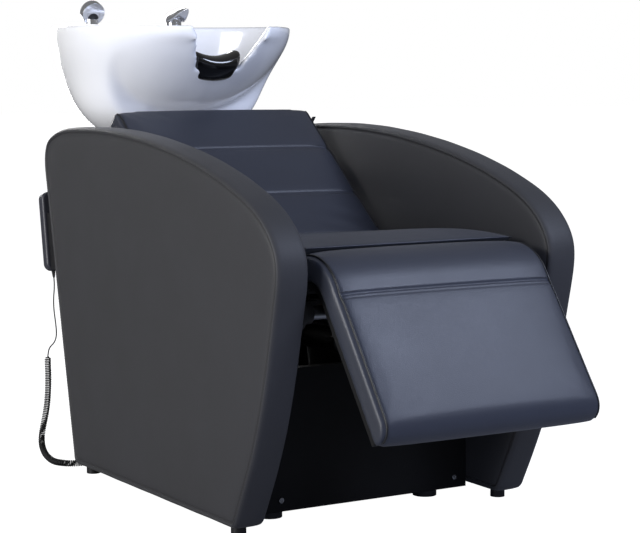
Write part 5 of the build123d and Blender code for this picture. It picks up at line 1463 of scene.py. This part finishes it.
@dataclass
class GlazedBasin:
    """The vitreous basin: the glaze rounds its body's edges, and the scoop's most of all."""

    voxel: float = 0.005
    scoop_center: tuple[float, float] = (205.0, 787.0)
    scoop_radius: float = 168.0
    fittings: Pairs = ((110.0, 650.0), (-110.0, 650.0), (0.0, 470.0))

    def softened(self, piece: Piece, rounds: int, share: Points) -> None:
        """Even the surface out over a number of rounds, by a share at each point.

        Args:
            piece: The basin, changed in place.
            rounds: Rounds of smoothing.
            share: For each vertex, how much of the smoothing it takes.
        """
        before = coordinates(piece.data)
        apply_all(add_modifier(piece, "SMOOTH", factor=0.5, iterations=rounds))
        after = coordinates(piece.data)
        move_to(piece.data, before + (after - before) * share[:, None])

    def build(self) -> None:
        """Make and dress the basin.

        The body is evened out in 8 rounds but for 26 mm round each fitting, the scoop's crease in
        60 more, and the top of the front wall under the neck rest in 16 more.
        """
        source = frame["nodes"]["basin"].data
        cells = np.empty(len(source.loop_triangles) * 3, int)
        source.loop_triangles.foreach_get("vertices", cells)
        piece = new_piece("glazed_basin", coordinates(source), cells.reshape(-1, 3))
        apply_all(add_modifier(piece, "REMESH", mode="VOXEL", voxel_size=self.voxel))
        points = coordinates(piece.data)
        flat = points[:, :2] * 1000 - (0.0, DATUM_BACK)
        near = np.min([np.hypot(*(flat - place).T) for place in self.fittings], axis=0)
        self.softened(piece, 8, smoothstep(26.0, 38.0, near))
        points = coordinates(piece.data)
        back, height = points[:, 1] * 1000 - DATUM_BACK, points[:, 2] * 1000
        reach = np.hypot(back - self.scoop_center[0], height - self.scoop_center[1])
        x = np.abs(points[:, 0] * 1000)
        crease = np.exp(-(((reach - self.scoop_radius) / 46.0) ** 2)) * smoothstep(80.0, 112.0, x)
        self.softened(piece, 60, crease)
        front = smoothstep(300.0, 262.0, back) * smoothstep(868.0, 890.0, height)
        self.softened(piece, 16, front * smoothstep(130.0, 112.0, x))
        piece.data.polygons.foreach_set("use_smooth", np.ones(len(piece.data.polygons), bool))
        dress(piece, "basin_unit", Finish.GLAZE, "ceramic", ("basin",))


@dataclass
class NeckRest:
    """The gel saddle over the basin's notch, with a lip that hugs the front wall."""

    half_width: float = 66.0
    foot_half_width: float = 50.0
    rise: float = 20.0
    wall_shift: float = 9.0
    end_size: float = 0.35
    lip_spread: float = 4.0
    columns: int = 41
    # Back, height and share of the saddle's rise, round the section in the middle
    profile: Triples = (
        (268.0, 886.0, 0.25), (275.5, 900.0, 0.7), (267.0, 913.5, 0.95), (247.0, 918.4, 1.0),
        (225.0, 915.5, 1.0), (210.0, 904.0, 0.85), (212.0, 887.0, 0.55), (228.0, 869.0, 0.45),
        (241.0, 861.5, 0.4), (248.0, 866.0, 0.4), (233.0, 887.0, 0.2), (246.0, 888.6, 0.15),
        (258.0, 886.5, 0.2),
    )

    def build(self) -> None:
        """Loft the section across the saddle and dress it.

        A section at a share u of the half width rises by rise * u squared, moves back with the
        wall by its shift * u squared, and shrinks to its middle at the ends as the square root of
        1 - u to the tenth.
        """
        rows = np.asarray(self.profile)
        loop = closed_spline(rows, 4)
        share = np.sin(np.linspace(-1, 1, self.columns) * math.pi / 2) * 0.995
        lift = self.rise * share[:, None] ** 2 * loop[None, :, 2]
        back = loop[None, :, 0] + self.wall_shift * share[:, None] ** 2
        height = loop[None, :, 1] + lift
        size = self.end_size + (1 - self.end_size) * np.sqrt(1 - share**10)[:, None]
        middle_back, middle_height = back.mean(1, keepdims=True), height.mean(1, keepdims=True)
        back = middle_back + (back - middle_back) * size
        height = middle_height + (height - middle_height) * size
        half = self.foot_half_width + (self.half_width - self.foot_half_width) * smoothstep(
            866.0, 922.0, loop[None, :, 1]
        )
        low_front = smoothstep(246.0, 228.0, loop[None, :, 0])
        low_front = low_front * smoothstep(905.0, 880.0, loop[None, :, 1])
        half = half + low_front * self.lip_spread
        sections = np.stack([share[:, None] * half, back, height], -1)
        piece = new_piece("gel_neck_rest", *loft(sections))
        apply_all(add_modifier(piece, "SUBSURF", levels=1, render_levels=1))
        dress(piece, "basin_unit", Finish.GEL, "gel", ("neck_rest",))


# ----------------------------------------------------------------- fittings


@dataclass
class MixerLever:
    """The tap's leaf-shaped lever: a domed cap over the hub that runs out to a raised point."""

    side: float = 110.0
    back: float = 650.0
    root: float = 1013.6
    reach: float = 76.0
    rear: float = 21.0
    half_width: float = 21.5
    spine_height: float = 9.0
    spine_rise: float = 12.5
    tip_drop: float = 2.0
    stations: int = 33
    # Share of the length, and height of the underside over the root
    underside: Pairs = (
        (0.0, -6.0), (0.06, -11.0), (0.4, -11.0), (0.55, -5.0), (0.75, 6.0), (1.0, 18.9),
    )

    def build(self) -> None:
        """Loft the lever from its round rear to its point.

        At a share s along it, the half width is its most * (1 - s to the 2.4) to the 0.7, narrowed
        to nothing at the round rear, and the spine rises in a long curve to the point.
        """
        share = np.sin(np.linspace(0, 1, self.stations) * math.pi / 2) ** 1.2
        along = -self.rear + share * (self.rear + self.reach)
        width = self.half_width * np.maximum(1 - share**2.4, 0.0) ** 0.7
        width = (width * np.sqrt(smoothstep(-0.06, 0.2, share)))[:, None]
        rise = np.sin(np.minimum(share / 0.8, 1.0) * math.pi / 2)
        spine = self.spine_height + self.spine_rise * rise
        spine = spine * np.sqrt(smoothstep(-0.1, 0.24, share))
        spine = spine - self.tip_drop * smoothstep(0.8, 1.0, share)
        under = np.interp(share, *np.transpose(self.underside))[:, None]
        deep = spine[:, None] - under
        angle = np.linspace(0, np.pi, 17)[None]
        belly = angle[:, 1:-1]
        x = np.hstack([np.cos(angle) * width, -np.cos(belly) * width * 0.86])
        z = np.hstack([under + deep * np.sin(angle) ** 0.8, under + 0.22 * deep * np.sin(belly)])
        y = np.broadcast_to(along[:, None], x.shape)
        sections = np.stack([self.side + x, self.back - y, self.root + z], -1)
        lever = new_piece("leaf_lever", *loft(sections))
        dress(lever, "mixer_handle", Finish.CHROME, "chrome", ("mixer_lever",))
        dome = [(0, -1.5), (2.6, -1.4), (2.6, 0.3), (1.8, 0.8), (0, 0.9)]
        for turn, name, finish in (
            (-0.42, "hot_mark", Finish.RED_MARK), (0.42, "cold_mark", Finish.BLUE_MARK)
        ):
            axis = np.array([turn * 1.4 - 0.5, -0.75, 0.35])
            center = np.array([self.side, self.back, self.root + 4.0])
            center = center + unit(axis) * (19.5, 19.5, 9.0)
            mark = new_piece(name, *lathe(dome, center, axis, (0, 0, 1), 20))
            dress(mark, "mixer_handle", finish, "chrome")


@dataclass
class ShowerFace:
    """The dark rubber nozzle plate in the hand shower's head, with rings of nubs."""

    side: float = -110.0
    back: float = 650.0
    rim: float = 988.0
    lift: float = 35.5
    head_length: float = 26.0
    tilt: float = 24.0
    drop: float = 11.5
    rings: tuple[tuple[float, int], ...] = ((0.0, 1), (4.2, 6), (8.0, 12), (11.4, 18))

    def build(self) -> None:
        """Turn the plate and its nubs round the head's axis."""
        turn = math.radians(self.tilt)
        axis = np.array([0.0, -math.cos(turn), -math.sin(turn)])
        side = np.array([1.0, 0.0, 0.0])
        cross = np.cross(axis, side)
        middle = np.array([self.side, self.back, self.rim + self.lift])
        face = middle + axis * (self.head_length / 2 - 1.9)
        low = face - cross * (self.drop * np.sign(cross[2]))
        plate = [(0, -1.0), (13.6, -1.0), (13.8, 0.2), (13.0, 0.8), (6.0, 1.1), (0, 1.2)]
        low = low + axis * 1.6
        parts = [lathe(plate, low, axis, side, 40)]
        nub = [(0, 0.4), (1.15, 0.4), (1.05, 2.0), (0.6, 2.5), (0.25, 2.4), (0, 1.8)]
        for radius, count in self.rings:
            for step in range(count):
                angle = 2 * math.pi * step / count
                way = math.cos(angle) * side + math.sin(angle) * cross
                parts.append(lathe(nub, low + radius * way, axis, side, 8))
        piece = new_piece("shower_nozzles", *merged(parts))
        dress(piece, "shower", Finish.DARK_NOZZLE, "gel")
        ring = [(0, -3.0), (27.6, -3.0), (28.3, -1.0), (27.4, 0.6), (24.2, 1.6), (16.4, 1.9),
                (0, 1.9)]
        bezel = new_piece("shower_bezel", *lathe(ring, face, axis, side, 64))
        dress(bezel, "shower", Finish.CHROME, "chrome")


# ------------------------------------------------------------------- hoses


@dataclass
class FreeHose:
    """A flexible hose that hangs in the open between two fittings."""

    name: str
    radius: float
    route: Triples
    finish: Finish
    slot: str
    replaces: tuple[str, ...] = ()
    rib_mm: float = 0.0
    rib_depth: float = 0.0
    body: str = "chair"
    crosses: bool = True
    sides: int = 18

    def build(self) -> None:
        """Sweep the tube along its route, ribbed where it is a ribbed one.

        The radius is the hose's minus the ribs' depth * (1 + cos(2 pi distance / rib)) / 2.
        """
        route = placed(self.route)
        line = route_line(f"{self.name}_route", route, 10)
        length = float(np.linalg.norm(np.diff(line, axis=0), axis=1).sum())
        step = self.rib_mm / 6 if self.rib_mm else 4.0
        fine = evenly(line, max(40, int(length * 1000 / step)))
        along = np.linspace(0, length * 1000, len(fine))
        radius = np.full(len(fine), self.radius)
        if self.rib_mm:
            radius = radius - self.rib_depth * (1 + np.cos(2 * np.pi * along / self.rib_mm)) / 2
        piece = new_piece(self.name, *tube(fine, radius * 0.001, self.sides, (0.9, -0.3, 0.1)))
        if self.crosses:
            piece.data.materials.append(self.finish.dressed())
            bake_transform(piece)
            if self.replaces:
                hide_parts(*self.replaces)
        else:
            dress(piece, self.body, self.finish, self.slot, self.replaces)


# Control points of the hoses' curves, in the chair's measures
WASTE_ROUTE = (
    (0.0, 470.0, 654.4), (0.0, 471.5, 611.0), (4.0, 462.0, 566.0), (26.0, 428.0, 528.0),
    (52.0, 380.0, 497.0), (72.0, 332.0, 466.0), (85.0, 286.0, 427.0), (93.0, 250.0, 377.0),
    (98.0, 228.0, 320.0), (101.0, 216.0, 262.0), (103.0, 211.0, 204.0), (103.0, 209.0, 150.0),
)
SUPPLY_ROUTE = (
    (110.0, 645.5, 941.4), (109.0, 644.0, 900.0), (101.0, 632.0, 862.0), (88.0, 604.0, 830.0),
    (74.0, 578.0, 794.0), (66.0, 560.0, 752.0), (68.0, 548.0, 706.0), (84.0, 530.0, 662.0),
    (112.0, 500.0, 624.0), (142.0, 458.0, 590.0), (165.0, 408.0, 556.0), (180.0, 356.0, 520.0),
    (188.0, 306.0, 480.0), (191.0, 262.0, 432.0), (191.0, 236.0, 376.0), (190.0, 224.0, 318.0),
    (190.5, 220.0, 262.0), (190.0, 218.0, 206.0), (190.0, 218.5, 150.0),
)
SHOWER_ROUTE = (
    (-110.0, 650.0, 851.7), (-109.0, 649.0, 826.0), (-98.0, 640.0, 800.0), (-76.0, 626.0, 781.0),
    (-42.0, 617.0, 772.0), (-4.0, 615.0, 770.0), (34.0, 617.0, 777.0), (68.0, 627.0, 796.0),
    (90.0, 642.0, 824.0), (104.5, 653.0, 858.0), (109.5, 658.5, 898.0), (110.0, 658.5, 941.4),
)

SUPPLY_NUT = (
    (0, -40.0), (8.2, -40.0), (9.0, -38.6), (9.0, -4.0), (7.4, -1.0), (6.4, 0.0), (0, 0.0),
)


def build_hoses() -> None:
    """Hang the waste hose, the hot and cold supply and the shower's own hose."""
    FreeHose("ribbed_waste_hose", 15.0, WASTE_ROUTE, Finish.HOSE_PVC, "hose_grey", ("waste_hose",),
             rib_mm=5.0, rib_depth=2.2, sides=28).build()
    shares = np.linspace(7.5, 10.5, len(SUPPLY_ROUTE))
    for side, name in ((-1, "hot"), (1, "cold")):
        rows = np.asarray(SUPPLY_ROUTE) + shares[:, None] * (side, 0.0, 0.0)
        stands_for = ("water_hoses",) if side < 0 else ()
        FreeHose(f"{name}_supply_hose", 6.0, tuple(map(tuple, rows)), Finish.BRAID, "hose_braid",
                 stands_for).build()
        turned = lathe(SUPPLY_NUT, rows[-1], (0, 0, 1), (1, 0, 0), 6)
        piece = new_piece(f"{name}_supply_nut", *turned)
        dress(piece, "chair", Finish.BRIGHT_ZINC, "hose_braid")
    FreeHose("shower_hose", 6.0, SHOWER_ROUTE, Finish.BRAID, "hose_braid", body="basin_unit",
             crosses=False).build()


# ---------------------------------------------------------- small soft pieces


# The handset's foot in the chair's measures, and its directions up and out of its face
HANDSET_FOOT = np.array([-316.0, 417.0, 434.0])
HANDSET_LEAN = math.radians(9.0)
HANDSET_UP = np.array([0.0, math.sin(HANDSET_LEAN), math.cos(HANDSET_LEAN)])
HANDSET_OUT = np.array([0.0, math.cos(HANDSET_LEAN), -math.sin(HANDSET_LEAN)])


def build_relief() -> None:
    """The ribbed rubber sleeve where the cord leaves the handset."""
    length, tip_radius, spread, rib_depth, rib_pitch = 15.0, 2.6, 2.0, 0.35, 2.5
    height = np.linspace(-length, 0.0, 41)
    taper = tip_radius + (height + length) / length * spread
    ribs = rib_depth * np.cos(2 * np.pi * height / rib_pitch)
    profile = [(0.0, -length)] + list(zip(taper + np.minimum(ribs, 0.1), height)) + [(0.0, 0.0)]
    base = HANDSET_FOOT + HANDSET_OUT * 12.5
    piece = new_piece("cord_sleeve", *lathe(profile, base, HANDSET_UP, (1, 0, 0), 24))
    dress(piece, "handset", Finish.CORD_PVC, "cord_rubber", ("cord_relief",))


def build_tag() -> None:
    """The plain woven loop sewn into the backrest's side seam, folded over its end."""
    loop = closed_spline(np.array([
        (0.3, -0.7), (5.0, -0.75), (8.4, -0.9), (9.4, 0.0),
        (8.4, 0.9), (5.0, 0.75), (0.3, 0.7), (0.3, 0.0),
    ]), 4)
    length = np.linspace(0.0, 22.0, 12)
    across = np.broadcast_to(CUSHION_HALF_WIDTH + loop[None, :, 0], (12, len(loop)))
    along = 386.0 + loop[None, :, 1] + 0.25 * np.sin(length / 4.0)[:, None]
    out = np.broadcast_to(42.0 + length[:, None], across.shape)
    flat = BACK_SLOPE.section(np.stack([along, out], -1))
    tag = new_piece("woven_tag", *loft(np.concatenate([across[..., None], flat], -1)))
    dress(tag, "chair", Finish.LABEL, "label", ("cushion_tag",))


def build_arrows() -> None:
    """A raised triangle on each of the handset's keys, pointing up and down."""
    ring = closed_spline(np.array([(0.0, 4.4), (-4.2, -2.8), (0.0, -2.4), (4.2, -2.8)]), 6)
    middle = HANDSET_FOOT + (6.0, 0.0, 0.0) + HANDSET_OUT * 24.6
    for name, body, height, way in (
        ("up_arrow", "up_key", 137.0, 1), ("down_arrow", "down_key", 103.0, -1)
    ):
        layers = []
        for shrink, level in ((1.0, -1.0), (1.0, 0.5), (0.8, 0.9), (0.02, 1.0)):
            flat = ring * shrink * (1, way)
            raised = flat[:, :1] * (-1.0, 0, 0) + flat[:, 1:] * HANDSET_UP + HANDSET_OUT * level
            layers.append(middle + HANDSET_UP * height + raised)
        dress(new_piece(name, *loft(np.stack(layers))), body, Finish.BLACK_ABS, "button_plastic")


@dataclass
class Studio:
    """The pale floor, the soft lights and the camera at the photograph's view."""

    camera_place: tuple[float, float, float] = (-2.07312, -3.53565, 0.89294)
    camera_pitch: float = 84.036
    camera_turn: float = -31.763
    lens: float = 107.44
    sky: float = 0.22

    def camera(self) -> None:
        """Place the camera where the photograph was taken from."""
        data = bpy.data.cameras.new("view")
        data.lens = self.lens
        data.sensor_width = 36.0
        data.clip_end = 200.0
        camera = bpy.data.objects.new("view", data)
        camera.location = self.camera_place
        pitch, turn = math.radians(self.camera_pitch), math.radians(self.camera_turn)
        camera.rotation_euler = (pitch, 0.0, turn)
        bpy.context.scene.collection.objects.link(camera)
        bpy.context.scene.camera = camera

    def floor(self) -> None:
        """A pale seamless floor: a grid of four corners, 60 m wide.

        The photograph's floor is burnt out to white, so what the lens sees of it is lifted, while
        the light that it throws back on the chair stays that of a pale grey floor.
        """
        half = 30.0
        points = np.array([(-half, -half, 0), (half, -half, 0), (half, half, 0), (-half, half, 0)])
        floor = new_piece("floor", points, [(0, 1, 2, 3)], outward=False)
        maker = Maker("pale_floor")
        floor.data.materials.append(maker.finished({
            "Base Color": srgb("#8a8a8c"),
            "Emission Color": (1.0, 1.0, 1.0, 1.0),
            "Emission Strength": add_node(maker.tree, "LightPath").outputs["Is Camera Ray"],
            "Roughness": 0.9,
            "Specular IOR Level": 0.1,
        }))

    def light(self, name: str, place: Sequence[float], target: Sequence[float], size: float,
              power: float, colour: str = "#ffffff", shine: bool = True, wash: bool = True) -> None:
        """Hang a square soft light that is turned to a target.

        Args:
            name: The light's name.
            place: Where it hangs, in metres.
            target: Where it shines to, in metres.
            size: Length of its side in metres.
            power: Its power in watts.
            colour: Its colour.
            shine: Whether it shows in gloss.
            wash: Whether it lights matt surfaces.
        """
        data = bpy.data.lights.new(name, "AREA")
        data.energy = power
        data.size = size
        data.color = srgb(colour)[:3]
        lamp = bpy.data.objects.new(name, data)
        lamp.location = place
        lamp.visible_glossy = shine
        lamp.visible_diffuse = wash
        x, y, z = np.asarray(target, float) - np.asarray(place, float)
        pitch, turn = math.atan2(math.hypot(x, y), -z), math.atan2(y, x) - math.pi / 2
        lamp.rotation_euler = (pitch, 0.0, turn)
        bpy.context.scene.collection.objects.link(lamp)

    def lights(self) -> None:
        """White surroundings to the lens, dim ones to the chair, and four broad soft lights."""
        world = bpy.data.worlds.new("studio")
        bpy.context.scene.world = world
        world.use_nodes = True
        tree = world.node_tree
        back = tree.nodes["Background"]
        seen = add_node(tree, "LightPath").outputs["Is Camera Ray"]
        power = add_node(tree, "MapRange", None, {"Value": seen, "To Min": self.sky, "To Max": 1.0})
        back.inputs["Color"].default_value = (1.0, 1.0, 1.0, 1.0)
        tree.links.new(power.outputs["Result"], back.inputs["Strength"])
        middle = (0.0, 0.0, 0.5)
        self.light("fill", (-0.6, -3.8, 1.3), (0.0, 0.2, 0.9), 1.6, 78.0, "#cfdcff", shine=False)
        self.light("left", (-3.8, -0.2, 1.35), middle, 2.0, 130.0)
        self.light("front", (1.5, -2.3, 2.75), (0.0, -0.2, 0.6), 1.1, 66.0, "#d9e4ff")
        self.light("rear", (0.6, 4.2, 1.5), (0.0, 0.0, 0.7), 2.2, 120.0, wash=False)
        bpy.context.scene.view_settings.view_transform = "Standard"

    def build(self) -> None:
        """Set up the camera, the floor and the lights."""
        self.camera()
        self.floor()
        self.lights()


def main() -> None:
    """Build the chair's visual model, piece by piece."""
    logging.basicConfig(level=logging.INFO, format="%(name)s: %(message)s")
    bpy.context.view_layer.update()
    dress_nodes()
    Studio().build()
    HandsetCord().build()
    SidePanel(-1, "left").build()
    SidePanel(1, "right").build()
    SeatCushion("seat_pad", "seat_cushion", "chair", 13.0).build()
    BackCushion("back_pad", "back_cushion", "chair", 11.0).build()
    LegCushion("leg_pad", "leg_cushion", "leg_rest", 12.0, LEG_SLOPE, shrink=2.0, cap=3.5).build()
    GlazedBasin().build()
    NeckRest().build()
    MixerLever().build()
    ShowerFace().build()
    build_hoses()
    build_relief()
    build_tag()
    build_arrows()
    bpy.context.view_layer.update()


if __name__ == "__main__":
    main()
